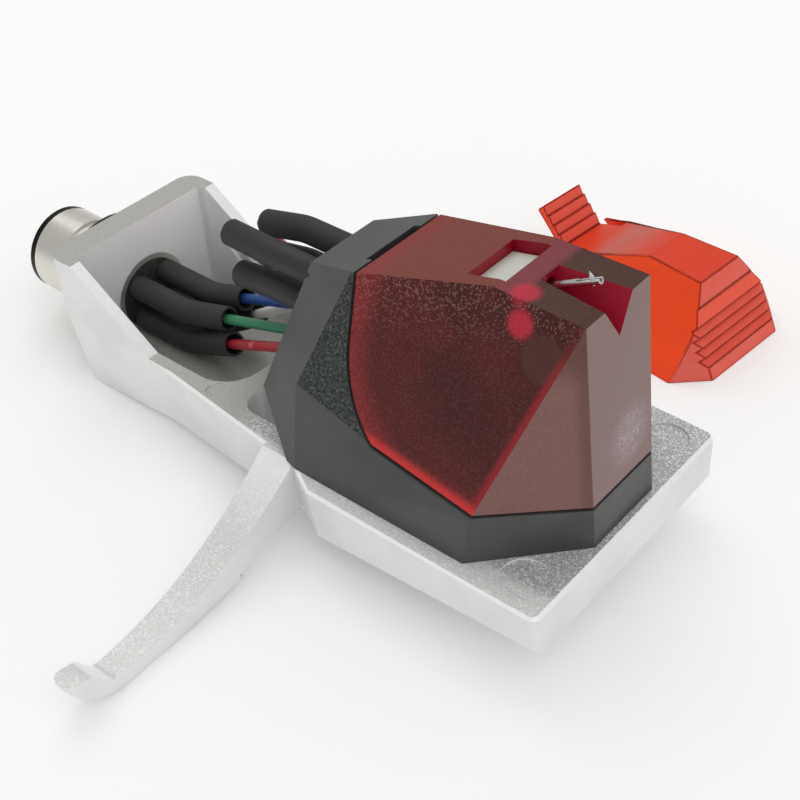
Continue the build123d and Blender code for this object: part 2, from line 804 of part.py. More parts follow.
def clip(start, end, y, z, axis_dir):
    """Crimp clip round a pin: a slit tube with a closed wire end."""
    with BuildPart() as barrel:
        with BuildSketch(Plane(origin=(start, y, z), x_dir=(0, 1, 0), z_dir=(axis_dir, 0, 0))):
            Circle(clip_d / 2)
            Circle(contact_d / 2, mode=Mode.SUBTRACT)
            with Locations((0, clip_d / 2)):
                Rectangle(clip_slit, clip_d, mode=Mode.SUBTRACT)
        extrude(amount=abs(end - start) - clip_end)
        with BuildSketch(Plane(origin=(end, y, z), x_dir=(0, 1, 0), z_dir=(-axis_dir, 0, 0))):
            Circle(clip_d / 2)
        extrude(amount=clip_end)
    return barrel.part


for colour, lead in leads.items():
    contact_y = lead["contact"][0] * contact_pitch / 2
    contact_z = lead["contact"][1] * contact_pitch / 2
    output_y = lead["output"][0] * pin_pitch_y / 2
    output_z = pin_mid_z + lead["output"][1] * pin_pitch_z / 2
    rear_bend = (rear_clip_end + clip_end, contact_y, contact_z)
    front_bend = (front_clip_end - clip_end, output_y, output_z)

    with BuildPart() as contact_pin:
        with BuildSketch(Plane.YZ.offset(-contact_proud)):
            with Locations((contact_y, contact_z)):
                Circle(contact_d / 2)
        extrude(amount=post_end + contact_proud)
    finish(contact_pin.part, f"contact_pin_{colour}")

    with BuildPart() as output_pin:
        with BuildSketch(terminal_axis):
            with Locations((output_y, output_z)):
                Circle(pin_d / 2)
        extrude(amount=-(terminal_t + pin_proud))
    finish(output_pin.part, f"output_pin_{colour}")

    with BuildPart() as pole_piece:
        with BuildSketch(terminal_axis):
            with Locations((output_y, output_z)):
                Circle(pole_d / 2)
        extrude(amount=snout_front_x + pole_reach - terminal_x)
    finish(pole_piece.part, f"pole_piece_{colour}")

    with BuildPart() as coil:
        with BuildSketch(Plane.XZ):
            with BuildLine():
                Polyline(
                    (terminal_x, pole_d / 2),
                    (terminal_x, coil_d / 2),
                    (terminal_x + coil_flange, coil_d / 2),
                    (terminal_x + coil_flange, coil_core_d / 2),
                    (coil_end - coil_flange, coil_core_d / 2),
                    (coil_end - coil_flange, coil_d / 2),
                    (coil_end, coil_d / 2),
                    (coil_end, pole_d / 2),
                    close=True,
                )
            make_face()
        revolve(axis=Axis.X)
    finish(coil.part.moved(Location((0, output_y, output_z))), f"coil_{colour}")

    finish(clip(rear_clip_start, rear_clip_end, contact_y, contact_z, 1), f"rear_clip_{colour}")
    finish(clip(front_clip_end + clip_length, front_clip_end, output_y, output_z, -1), f"front_clip_{colour}")

    rear_start = (tray_back + rear_sleeve_gap, contact_y, contact_z)
    mouth = from_bend(rear_bend, lead["mouth"])
    rear_path = (rear_start, rear_bend, mouth)
    finish(tube_along(rear_path, sleeve_bend_r, sleeve_tube_d, sleeve_tube_bore), f"rear_sleeve_{colour}")

    front_start = (terminal_back - front_sleeve_gap, output_y, output_z)
    tail = from_bend(front_bend, lead["tail"])
    front_path = (front_start, front_bend, tail)
    finish(tube_along(front_path, sleeve_bend_r, sleeve_tube_d, sleeve_tube_bore), f"front_sleeve_{colour}")

    turn_x, back_y, back_z = from_bend(front_bend, (lead["turn"], *lead["back"]))
    loop_x = tail[0] - wire_loop_r
    wire_path = (
        (rear_clip_end, contact_y, contact_z),
        rear_bend,
        on_line(rear_bend, mouth, turn_x),
        (turn_x, back_y, back_z),
        (loop_x, back_y, back_z),
        on_line(front_bend, tail, loop_x),
        front_bend,
        (front_clip_end, output_y, output_z),
    )
    wire_radii = [clip_end, wire_bend_r, wire_bend_r, wire_loop_r, wire_loop_r, clip_end]
    finish(tube_along(wire_path, wire_radii, wire_d), f"lead_wire_{colour}")

# Stylus guard
guard_frame = Plane(
    origin=(guard_x, guard_y, rest_z),
    x_dir=(cos(radians(guard_turn)), sin(radians(guard_turn)), 0),
    z_dir=(0, 0, 1),
)


def guard_facet(*corners):
    """Plane through three corners given in the guard's own frame."""
    core = guard_frame.from_local_coords((-guard_length / 2, 0, guard_wall))
    placed = [guard_frame.from_local_coords(corner) for corner in corners]
    return facet(tuple(core), *(tuple(point) for point in placed))


def guard_facets():
    """Outer facets of the guard."""
    planes = [
        guard_facet((0, 1, 0), (0, -1, 0), (-guard_lean, 0, guard_height)),
        guard_facet((0, 1, guard_height), (0, -1, guard_height), (-guard_lean, 0, guard_height)),
        guard_facet((-guard_crease_back, 1, guard_height), (-guard_crease_back, -1, guard_height),
                    (-guard_length, 0, guard_tail_z)),
    ]
    for name, side in sides:
        brow = (-guard_lean, side * guard_brow_half, guard_height)
        crease = (-guard_crease_back, side * guard_crease_half, guard_height)
        cheek = (-guard_cheek_back, side * guard_cheek_half, 0)
        foot = (0, side * guard_foot_half, 0)
        knee_back = guard_lean * guard_knee_z / guard_height
        knee = (-knee_back, side * guard_knee_half, guard_knee_z)
        planes.append(guard_facet(brow, crease, cheek))
        planes.append(guard_facet(knee, foot, cheek))
    return planes


guard_mouth = guard_facet((-guard_length, 1, guard_tail_z), (-guard_length, -1, guard_tail_z),
                          (-guard_mouth_back, 0, 0))

with BuildPart() as guard_core:
    with BuildSketch(guard_frame):
        Rectangle(3 * guard_length, 3 * guard_cheek_half)
    extrude(amount=guard_height)
    for plane in guard_facets():
        split(bisect_by=plane.offset(-guard_wall), keep=Keep.BOTTOM)

guard_side = Plane(origin=guard_frame.origin, x_dir=guard_frame.x_dir, z_dir=-guard_frame.y_dir)
front_up = Vector(-guard_lean, guard_height).normalized()
front_out = Vector(guard_height, guard_lean).normalized()
grip_profile = [front_up * guard_lip_up + front_out, front_up * guard_lip_up,
                front_up * (guard_lip_up - guard_rib_edge) - front_out * guard_lip]
for rib in range(guard_ribs):
    crest_up = guard_rib_up - rib * guard_rib_pitch
    grip_profile += [front_up * crest_up, front_up * (crest_up - guard_rib_edge) - front_out * guard_rib]
grip_end_up = guard_rib_up - guard_ribs * guard_rib_pitch
grip_profile += [front_up * grip_end_up, front_up * grip_end_up + front_out]
tab_slope = Vector(-guard_tab_run, guard_tab_rise)
tab_face = tab_slope.normalized().rotate(Axis.Z, -90)
tab_foot = Vector(-guard_length, guard_tail_z)
tab_profile = [tab_foot - tab_face * guard_tab_t / 2, tab_foot + tab_slope - tab_face * guard_tab_t / 2]
for ridge in range(guard_ridges):
    crest = tab_foot + tab_slope * (1 - ridge / guard_ridges) + tab_face * guard_tab_t / 2
    valley = tab_foot + tab_slope * (1 - (ridge + 1) / guard_ridges) + tab_face * guard_tab_t / 2
    tab_profile += [crest + tab_face * guard_ridge, valley]
tab_profile.append(tab_foot + tab_face * guard_tab_t / 2 - tab_slope * guard_tab_t / guard_tab_rise / 2)

with BuildPart() as stylus_guard:
    with BuildSketch(guard_frame):
        Rectangle(3 * guard_length, 3 * guard_cheek_half)
    extrude(amount=guard_height)
    for plane in guard_facets():
        split(bisect_by=plane, keep=Keep.BOTTOM)
    split(bisect_by=guard_mouth, keep=Keep.BOTTOM)
    with BuildSketch(guard_side):
        with BuildLine():
            Polyline(*grip_profile, close=True)
        make_face()
    extrude(amount=guard_cheek_half, both=True, mode=Mode.SUBTRACT)
    add(guard_core.part, mode=Mode.SUBTRACT)
    with BuildSketch(guard_frame):
        for name, side in sides:
            with Locations((-guard_length + guard_notch_depth / 2, side * (guard_tab_half + guard_notch / 2))):
                Rectangle(guard_notch_depth, guard_notch)
    extrude(amount=guard_height, mode=Mode.SUBTRACT)
    with BuildSketch(guard_side):
        with BuildLine():
            Polyline(*tab_profile, close=True)
        make_face()
    extrude(amount=guard_tab_half, both=True)
finish(stylus_guard.part, "stylus_guard")
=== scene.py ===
"""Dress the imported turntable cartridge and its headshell, and stage them for the studio render."""

import logging
import math
from dataclasses import dataclass
from enum import Enum
from typing import Any, Mapping

import bpy
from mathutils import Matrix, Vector


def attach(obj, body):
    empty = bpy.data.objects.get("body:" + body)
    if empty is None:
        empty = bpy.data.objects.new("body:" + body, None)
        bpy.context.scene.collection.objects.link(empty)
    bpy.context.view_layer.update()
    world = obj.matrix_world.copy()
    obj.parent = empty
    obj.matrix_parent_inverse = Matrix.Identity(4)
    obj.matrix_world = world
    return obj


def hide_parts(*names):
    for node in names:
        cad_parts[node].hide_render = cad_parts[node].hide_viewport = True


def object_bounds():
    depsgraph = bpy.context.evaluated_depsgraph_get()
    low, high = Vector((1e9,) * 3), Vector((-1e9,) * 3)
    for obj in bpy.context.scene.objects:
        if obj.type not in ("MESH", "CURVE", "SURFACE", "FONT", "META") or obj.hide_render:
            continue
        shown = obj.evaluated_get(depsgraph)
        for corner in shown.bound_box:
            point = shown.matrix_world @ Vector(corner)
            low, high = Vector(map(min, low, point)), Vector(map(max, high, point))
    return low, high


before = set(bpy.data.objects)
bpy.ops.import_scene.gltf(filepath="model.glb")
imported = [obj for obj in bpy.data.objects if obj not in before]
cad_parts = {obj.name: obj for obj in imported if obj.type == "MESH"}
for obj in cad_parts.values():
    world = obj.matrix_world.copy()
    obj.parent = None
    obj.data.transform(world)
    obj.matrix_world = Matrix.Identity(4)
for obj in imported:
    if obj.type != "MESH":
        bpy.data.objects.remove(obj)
CAD_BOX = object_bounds()

Material = bpy.types.Material
Node = bpy.types.Node
NodeTree = bpy.types.NodeTree
Object = bpy.types.Object
Socket = bpy.types.NodeSocket
Sockets = Mapping[str, Socket]
Colour = tuple[float, float, float, float]
Triple = tuple[float, float, float]
Band = tuple[float, float]

LOG = logging.getLogger("cartridge")
COLOURS = ("green", "red", "blue", "white")
SIDES = ("left", "right")
ENDS = ("rear", "front")
RIM = "rim"

# One millimetre in metres
MM = 0.001

# Angles in degrees: shading of round pieces and of facets, merging of flat faces, and rounding
SMOOTH_ANGLE = 32.0
FACET_ANGLE = 4.0
FLAT_ANGLE = 0.6
BEVEL_ANGLE = 28.0

# Tolerances for merging corners and for telling facets apart
MERGE_DISTANCE = 2e-6
FACET_SLACK = 0.001
PLANE_STEPS = 60
PLANE_GRID = 0.05 * MM

# Values that several node trees share
WHOLE: Band = (0.0, 1.0)
WHITE: Colour = (1.0, 1.0, 1.0, 1.0)
UNLIT: Colour = (0.0, 0.0, 0.0, 1.0)
NOISE_DETAIL = 2.0
BALL_CORE = 0.4

# Places of the share, the two colours and the result among a Mix node's sockets
MIX_SHARE = 0
MIX_FIRST = 6
MIX_SECOND = 7
MIX_RESULT = 2


class Body(Enum):
    """Rigid bodies that the rounded copies ride on."""

    HEADSHELL = "headshell"
    STYLUS_UNIT = "stylus_unit"
    GUARD = "guard"


@dataclass(frozen=True)
class Facet:
    """Plane of one flat facet of a CAD node."""

    normal: Triple
    offset: float

    @classmethod
    def of(cls, node: str, towards: Triple) -> "Facet":
        """Find the outermost facet that faces a direction.

        Args:
            node: CAD node to look at.
            towards: Direction that the facet faces most nearly.

        Returns:
            The facet's plane.
        """
        aim = Vector(towards).normalized()
        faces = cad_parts[node].data.polygons
        best = max(face.normal.dot(aim) for face in faces)
        alike = [face for face in faces if face.normal.dot(aim) > best - FACET_SLACK]
        face = max(alike, key=lambda each: each.center.dot(each.normal))
        return cls(tuple(face.normal), face.center.dot(face.normal))


class Tree:
    """Short calls for building one shader node tree."""

    def __init__(self, tree: NodeTree) -> None:
        """Keep the tree that the calls work on."""
        self.tree = tree

    def feed(self, socket: Socket, value: Any) -> None:
        """Set an input socket, or link an output socket to it.

        Args:
            socket: Input socket.
            value: Plain value or output socket.
        """
        if isinstance(value, Socket):
            self.tree.links.new(value, socket)
        else:
            socket.default_value = value

    def fill(self, node: Node, **inputs: Any) -> None:
        """Feed several inputs of a node, named with underscores for spaces."""
        for name, value in inputs.items():
            self.feed(node.inputs[name.replace("_", " ")], value)

    def add(self, kind: str, settings: dict[str, Any] | None = None, **inputs: Any) -> Node:
        """Add a node and set its inputs.

        Args:
            kind: Node type, without its ShaderNode prefix.
            settings: Node properties by name.
            inputs: Input values or output sockets by input name, with underscores for spaces.

        Returns:
            The new node.
        """
        node = self.tree.nodes.new("ShaderNode" + kind)
        for name, value in (settings or {}).items():
            setattr(node, name, value)
        self.fill(node, **inputs)
        return node

    def group(self, group: NodeTree, **values: Any) -> Sockets:
        """Place a node group with its own input values and return its outputs."""
        return self.add("Group", {"node_tree": group}, **values).outputs

    def _pair(self, kind: str, settings: dict[str, Any], first: Any, second: Any) -> Node:
        """Add a node that works on two values.

        Args:
            kind: Node type, without its ShaderNode prefix.
            settings: Node properties by name.
            first: First value or socket.
            second: Second value or socket.

        Returns:
            The new node.
        """
        node = self.add(kind, settings)
        self.feed(node.inputs[0], first)
        self.feed(node.inputs[1], second)
        return node

    def math(self, operation: str, first: Any, second: Any = 0.5, clamp: bool = False) -> Socket:
        """Add a Math node.

        Args:
            operation: Name of the operation.
            first: First value or socket.
            second: Second value or socket.
            clamp: Whether the result stays between 0 and 1.

        Returns:
            The result's socket.
        """
        settings = {"operation": operation, "use_clamp": clamp}
        return self._pair("Math", settings, first, second).outputs[0]

    def times(self, first: Any, second: Any) -> Socket:
        """Multiply two values and return the product's socket."""
        return self.math("MULTIPLY", first, second)

    def larger(self, first: Any, second: Any) -> Socket:
        """Take the larger of two values and return its socket."""
        return self.math("MAXIMUM", first, second)

    def ramp(self, value: Any, band: Band, out: Band = WHOLE) -> Socket:
        """Map a value from one range to another, smoothly and clamped.

        Args:
            value: Socket to map.
            band: Start and end of the incoming range.
            out: Results at the start and at the end.

        Returns:
            The result's socket.
        """
        node = self.add("MapRange", {"interpolation_type": "SMOOTHSTEP"}, Value=value)
        self.fill(node, From_Min=band[0], From_Max=band[1], To_Min=out[0], To_Max=out[1])
        return node.outputs["Result"]

    def rise(self, value: Any, band: Band, share: float) -> Socket:
        """Map a value's range to one from 0 up to a share, and return the result's socket."""
        return self.ramp(value, band, (0.0, share))

    def mix(self, share: Any, first: Any, second: Any) -> Socket:
        """Mix two colours.

        Args:
            share: Share of the second colour.
            first: First colour or socket.
            second: Second colour or socket.

        Returns:
            The mixed colour's socket.
        """
        node = self.add("Mix", {"data_type": "RGBA", "blend_type": "MIX"})
        self.feed(node.inputs[MIX_SHARE], share)
        self.feed(node.inputs[MIX_FIRST], first)
        self.feed(node.inputs[MIX_SECOND], second)
        return node.outputs[MIX_RESULT]

    def noise(self, place: Socket, scale: Any, **inputs: Any) -> Socket:
        """Add soft noise at a scale and return its value's socket."""
        return self.add("TexNoise", Vector=place, Scale=scale, Detail=NOISE_DETAIL, **inputs).outputs["Fac"]

    def place(self) -> Socket:
        """Add object coordinates and return their socket."""
        return self.add("TexCoord").outputs["Object"]

    def parts(self, vector: Socket) -> Sockets:
        """Split a vector and return its X, Y and Z by name."""
        return self.add("SeparateXYZ", Vector=vector).outputs

    def folded(self) -> Socket:
        """Add object coordinates folded over the middle plane, so that both flanks look alike.

        Returns:
            The folded coordinates' socket.
        """
        at = self.parts(self.place())
        flank = self.math("ABSOLUTE", at["Y"])
        return self.add("CombineXYZ", X=at["X"], Y=flank, Z=at["Z"]).outputs["Vector"]

    def depth(self, place: Socket, plane: Facet) -> Socket:
        """Measure how far a place lies behind a facet's plane.

        Args:
            place: Coordinates to measure from.
            plane: Facet whose plane is meant.

        Returns:
            The depth's socket, in metres.
        """
        dot = self._pair("VectorMath", {"operation": "DOT_PRODUCT"}, place, plane.normal)
        return self.math("SUBTRACT", plane.offset, dot.outputs["Value"])

    def ball(self, place: Socket, centre: Triple, radius: float, core: float = BALL_CORE) -> Socket:
        """Mask a soft ball.

        Args:
            place: Coordinates to measure from.
            centre: Middle of the ball in metres.
            radius: Radius at which the mask ends.
            core: Share of the radius that is filled.

        Returns:
            The mask's socket.
        """
        away = self._pair("VectorMath", {"operation": "DISTANCE"}, place, centre)
        return self.ramp(away.outputs["Value"], (radius, core * radius))

    def rim(self) -> Socket:
        """Add the mesh's own edge mask and return its socket."""
        return self.add("Attribute", {"attribute_name": RIM}).outputs["Fac"]


class Groups:
    """Shader node groups that several finishes share."""

    GRAIN_INPUTS = {"Scale": 4000.0, "Fleck Share": 0.3}
    GRAIN_OUTPUTS = ("Height", "Specks", "Flecks", "Cloud")
    GRAIN_ROUGHNESS = 0.6
    SPECK_BAND: Band = (0.4, 0.6)
    FLECK_BAND: Band = (0.65, 0.2)
    CLOUD_SCALE = 160.0

    FACING_OUTPUTS = ("Up", "Edge", "Crown", "Front", "Cheek", "Side")
    UP_BAND: Band = (0.55, 0.8)
    RISING_BAND: Band = (0.2, 0.45)
    LEVEL_BAND: Band = (0.92, 0.8)
    CROWN_BAND: Band = (0.75, 0.9)
    FORWARD_BAND: Band = (0.45, 0.65)
    FRONT_BAND: Band = (0.8, 0.92)
    STEEP_BAND: Band = (0.8, 0.88)
    SIDE_LEAN = 0.404
    LEAN_BAND: Band = (0.08, 0.05)

    _made: dict[str, NodeTree] = {}

    @classmethod
    def _start(cls, name: str, inputs: dict[str, float], outputs: tuple[str, ...]) -> Tree:
        """Make an empty group with named float sockets.

        Args:
            name: Group name.
            inputs: Inputs and their defaults.
            outputs: Names of the outputs.

        Returns:
            A builder for the group.
        """
        group = bpy.data.node_groups.new(name, "ShaderNodeTree")
        for label, value in inputs.items():
            socket = group.interface.new_socket(label, in_out="INPUT", socket_type="NodeSocketFloat")
            socket.default_value = value
        for label in outputs:
            group.interface.new_socket(label, in_out="OUTPUT", socket_type="NodeSocketFloat")
        cls._made[name] = group
        return Tree(group)

    @staticmethod
    def _put_out(tree: Tree, **results: Socket) -> NodeTree:
        """Link results to a group's outputs by name.

        Args:
            tree: Builder of the group.
            results: Sockets by output name.

        Returns:
            The finished group.
        """
        tree.fill(tree.tree.nodes.new("NodeGroupOutput"), **results)
        return tree.tree

    @classmethod
    def grain(cls) -> NodeTree:
        """Build a blasted or eroded surface: height, specks, single bright flecks and broad clouds.

        Returns:
            The group.
        """
        if "grain" in cls._made:
            return cls._made["grain"]
        tree = cls._start("grain", cls.GRAIN_INPUTS, cls.GRAIN_OUTPUTS)
        ins = tree.tree.nodes.new("NodeGroupInput").outputs
        place = tree.place()
        height = tree.noise(place, ins["Scale"], Roughness=cls.GRAIN_ROUGHNESS)
        cells = tree.add("TexVoronoi", Vector=place, Scale=ins["Scale"]).outputs
        tone = tree.add("SeparateColor", Color=cells["Color"]).outputs[0]
        chosen = tree.math("GREATER_THAN", tone, tree.math("SUBTRACT", 1.0, ins["Fleck Share"]))
        core = tree.ramp(cells["Distance"], cls.FLECK_BAND)
        return cls._put_out(
            tree,
            Height=height,
            Specks=tree.ramp(height, cls.SPECK_BAND),
            Flecks=tree.times(chosen, core),
            Cloud=tree.noise(place, cls.CLOUD_SCALE),
        )

    @classmethod
    def facing(cls) -> NodeTree:
        """Build masks of the gem's facets and of upward faces, from the normal on the object itself.

        Returns:
            The group.
        """
        if "facing" in cls._made:
            return cls._made["facing"]
        tree = cls._start("facing", {}, cls.FACING_OUTPUTS)
        normal = tree.parts(tree.add("TexCoord").outputs["Normal"])
        forward = tree.ramp(normal["X"], cls.FORWARD_BAND)
        front = tree.ramp(normal["X"], cls.FRONT_BAND)
        rising = tree.ramp(normal["Z"], cls.RISING_BAND)
        steep = tree.ramp(tree.math("ABSOLUTE", normal["Y"]), cls.STEEP_BAND)
        lean = tree.math("ABSOLUTE", tree.math("SUBTRACT", normal["Z"], cls.SIDE_LEAN))
        return cls._put_out(
            tree,
            Up=tree.ramp(normal["Z"], cls.UP_BAND),
            Edge=tree.times(rising, tree.ramp(normal["Z"], cls.LEVEL_BAND)),
            Crown=tree.ramp(normal["Z"], cls.CROWN_BAND),
            Front=front,
            Cheek=tree.math("SUBTRACT", forward, front),
            Side=tree.times(steep, tree.ramp(lean, cls.LEAN_BAND)),
        )


FINISHED: dict[str, Material] = {}


class Finish:
    """A surface finish that makes its material once."""

    name: str

    def material(self) -> Material:
        """Make the material, or take the one that was made before.

        Returns:
            The material.
        """
        if self.name in FINISHED:
            return FINISHED[self.name]
        material = bpy.data.materials.new("dressed_" + self.name)
        FINISHED[self.name] = material
        material.use_nodes = True
        shader = material.node_tree.nodes["Principled BSDF"]
        self.wire(Tree(material.node_tree), shader)
        return material

    def wire(self, tree: Tree, shader: Node) -> None:
        """Connect the finish's textures to the shader."""
        raise NotImplementedError

    @staticmethod
    def bump(tree: Tree, shader: Node, height: Any, strength: float, distance: float) -> None:
        """Feed a height to the shader's normal.

        Args:
            tree: Material's node tree.
            shader: Shader that takes the normal.
            height: Height socket.
            strength: Share of the bump.
            distance: Height of the bump in metres.
        """
        node = tree.add("Bump", Height=height, Strength=strength, Distance=distance)
        tree.feed(shader.inputs["Normal"], node.outputs["Normal"])


@dataclass(frozen=True)
class CastMetal(Finish):
    """Die-cast aluminium, blasted on its upward faces with painted glints, smoother on its walls, with
    painted highlights along its rounded edges and painted light on its forward-facing faces behind the
    cartridge.
    """

    name: str = "cast_aluminium"
    blasted: Colour = (0.58, 0.58, 0.57, 1.0)
    pit: Colour = (0.37, 0.37, 0.37, 1.0)
    # Painted glints: near-white flecks scattered over the blasted faces
    painted_glint: Colour = (0.9, 0.9, 0.9, 1.0)
    painted_glint_share: float = 0.9
    plain: Colour = (0.4, 0.395, 0.36, 1.0)
    plain_share: float = 0.85
    rim_z: float = 5.0 * MM
    tray_front: float = 35.0 * MM
    tray_fade: float = 3.0 * MM
    pale: Colour = (0.82, 0.82, 0.8, 1.0)
    lift_y: float = -10.0 * MM
    lift_fade: float = 1.0 * MM
    lift_share: float = 0.65
    wall: Colour = (0.82, 0.82, 0.82, 1.0)
    stain: Colour = (0.68, 0.68, 0.67, 1.0)
    stain_band: Band = (0.4, 0.75)
    stain_share: float = 0.6
    stain_specks: float = 0.18
    # Painted highlight for the rounded edges and painted light for the forward-facing faces behind the
    # cartridge, near-white
    wear_and_highlight: Colour = (0.98, 0.98, 0.98, 1.0)
    wear_and_highlight_share: float = 0.9
    metallic: float = 0.3
    roughness: Band = (0.5, 0.42)
    grain_scale: float = 6200.0
    grain_height: float = 0.1 * MM
    fleck_share: float = 0.35
    relief: Band = (0.12, 1.0)
    bump_share: float = 0.6

    def wire(self, tree: Tree, shader: Node) -> None:
        """Connect the finish's textures to the shader.

        Args:
            tree: Material's node tree.
            shader: Shader that takes them.
        """
        grain = tree.group(Groups.grain(), Scale=self.grain_scale, Fleck_Share=self.fleck_share)
        facing = tree.group(Groups.facing())
        at = tree.parts(tree.place())
        up = facing["Up"]
        top = tree.mix(grain["Specks"], self.pit, self.blasted)
        lift = tree.rise(at["Y"], (self.lift_y + self.lift_fade, self.lift_y), self.lift_share)
        top = tree.mix(lift, top, self.pale)
        # Painted glints on the blasted faces
        top = tree.mix(tree.times(grain["Flecks"], self.painted_glint_share), top, self.painted_glint)
        top = tree.mix(self._plain(tree, at), top, self.plain)
        stained = tree.rise(grain["Cloud"], self.stain_band, self.stain_share)
        flank = tree.mix(stained, self.wall, self.stain)
        flank = tree.mix(tree.times(grain["Specks"], self.stain_specks), flank, self.stain)
        base = tree.mix(up, flank, top)
        # Painted light: forward-facing faces behind the cartridge and the rounded edges are lightened
        # towards near-white
        painted_light_mask = tree.times(facing["Front"], self._behind(tree, at))
        painted_light_mask = tree.larger(painted_light_mask, facing["Edge"])
        tree.fill(
            shader,
            Base_Color=tree.mix(tree.times(painted_light_mask, self.wear_and_highlight_share), base, self.wear_and_highlight),
            Roughness=tree.ramp(up, WHOLE, self.roughness),
            Metallic=self.metallic,
        )
        height = tree.times(grain["Height"], tree.ramp(up, WHOLE, self.relief))
        self.bump(tree, shader, height, self.bump_share, self.grain_height)

    def _plain(self, tree: Tree, at: Sockets) -> Socket:
        """Mask the tray behind the cartridge and its upper rim, which the blasting didn't reach."""
        rim = tree.math("GREATER_THAN", at["Z"], self.rim_z)
        return tree.times(tree.larger(rim, self._behind(tree, at)), self.plain_share)

    def _behind(self, tree: Tree, at: Sockets) -> Socket:
        """Mask everything behind the cartridge."""
        return tree.ramp(at["X"], (self.tray_front, self.tray_front - self.tray_fade))


@dataclass(frozen=True)
class TurnedMetal(Finish):
    """Plated or turned metal with fine lathe lines round the X axis."""

    name: str
    colour: Colour
    roughness: float = 0.22
    line_scale: float = 9000.0
    metallic: float = 1.0
    black_to: float = -1.0
    black: Colour = (0.012, 0.012, 0.011, 1.0)
    stretch: Triple = (1.0, 0.02, 0.02)
    line_band: Band = (0.3, 0.7)
    line_share: float = 0.1
    line_tone: float = 0.6
    line_height: float = 0.01 * MM
    roughness_spread: Band = (0.8, 1.3)
    bump_share: float = 0.05

    def wire(self, tree: Tree, shader: Node) -> None:
        """Connect the finish's textures to the shader.

        Args:
            tree: Material's node tree.
            shader: Shader that takes them.
        """
        stretched = tree.add("Mapping", Vector=tree.place(), Scale=self.stretch)
        lines = tree.noise(stretched.outputs["Vector"], self.line_scale)
        dark = tuple(self.line_tone * part for part in self.colour[:3]) + (1.0,)
        base = tree.mix(tree.rise(lines, self.line_band, self.line_share), self.colour, dark)
        at = tree.parts(tree.place())
        end = tree.math("LESS_THAN", at["X"], self.black_to)
        low, high = (share * self.roughness for share in self.roughness_spread)
        tree.fill(
            shader,
            Base_Color=tree.mix(end, base, self.black),
            Roughness=tree.ramp(lines, self.line_band, (low, high)),
            Metallic=self.metallic,
        )
        self.bump(tree, shader, lines, self.bump_share, self.line_height)


@dataclass(frozen=True)
class Moulding(Finish):
    """Moulded plastic or rubber with a fine grain."""

    name: str
    colour: Colour
    fleck: Colour
    roughness: float = 0.45
    grain_scale: float = 6000.0
    grain_height: float = 0.03 * MM
    fleck_share: float = 0.1
    pale_share: float = 0.2
    cloud_band: Band = (0.35, 0.7)
    cloud_share: float = 0.5
    roughness_band: Band = (0.3, 0.7)
    smoother: float = 0.08
    rougher: float = 0.1
    bump_share: float = 0.5

    def wire(self, tree: Tree, shader: Node) -> None:
        """Connect the finish's textures to the shader.

        Args:
            tree: Material's node tree.
            shader: Shader that takes them.
        """
        grain = tree.group(Groups.grain(), Scale=self.grain_scale, Fleck_Share=self.fleck_share)
        pale = tree.mix(self.pale_share, self.colour, self.fleck)
        clouded = tree.rise(grain["Cloud"], self.cloud_band, self.cloud_share)
        base = tree.mix(clouded, self.colour, pale)
        limits = (self.roughness - self.smoother, self.roughness + self.rougher)
        tree.fill(
            shader,
            Base_Color=tree.mix(grain["Flecks"], base, self.fleck),
            Roughness=tree.ramp(grain["Cloud"], self.roughness_band, limits),
        )
        self.bump(tree, shader, grain["Height"], self.bump_share, self.grain_height)


@dataclass(frozen=True)
class Insulation(Moulding):
    """Smooth plastic round a lead wire."""

    roughness: float = 0.32
    grain_scale: float = 1200.0
    grain_height: float = 0.01 * MM


@dataclass(frozen=True)
class BlackGem(Finish):
    """Black body plastic, eroded on its side facets and smooth on the others."""

    name: str = "black_body"
    smooth: Colour = (0.04, 0.043, 0.039, 1.0)
    bloom: Colour = (0.062, 0.066, 0.063, 1.0)
    bloom_band: Band = (0.35, 0.7)
    bloom_share: float = 0.8
    eroded: Colour = (0.008, 0.01, 0.009, 1.0)
    speck: Colour = (0.042, 0.051, 0.045, 1.0)
    fleck: Colour = (0.13, 0.155, 0.135, 1.0)
    fleck_tone: float = 0.6
    roughness: Band = (0.38, 0.6)
    specular: float = 0.42
    grain_end: float = 47.5 * MM
    grain_scale: float = 5600.0
    grain_height: float = 0.1 * MM
    fleck_share: float = 0.25
    relief: Band = (0.04, 1.0)
    bump_share: float = 0.5

    def wire(self, tree: Tree, shader: Node) -> None:
        """Connect the finish's textures to the shader.

        Args:
            tree: Material's node tree.
            shader: Shader that takes them.
        """
        grain = tree.group(Groups.grain(), Scale=self.grain_scale, Fleck_Share=self.fleck_share)
        at = tree.parts(tree.place())
        side = tree.group(Groups.facing())["Side"]
        side = tree.times(side, tree.math("LESS_THAN", at["X"], self.grain_end))
        bloomed = tree.rise(grain["Cloud"], self.bloom_band, self.bloom_share)
        fine = tree.mix(bloomed, self.smooth, self.bloom)
        coarse = tree.mix(grain["Specks"], self.eroded, self.speck)
        coarse = tree.mix(tree.times(grain["Flecks"], self.fleck_tone), coarse, self.fleck)
        tree.fill(
            shader,
            Base_Color=tree.mix(side, fine, coarse),
            Roughness=tree.ramp(side, WHOLE, self.roughness),
            Specular_IOR_Level=self.specular,
        )
        height = tree.times(grain["Height"], tree.ramp(side, WHOLE, self.relief))
        self.bump(tree, shader, height, self.bump_share, self.grain_height)


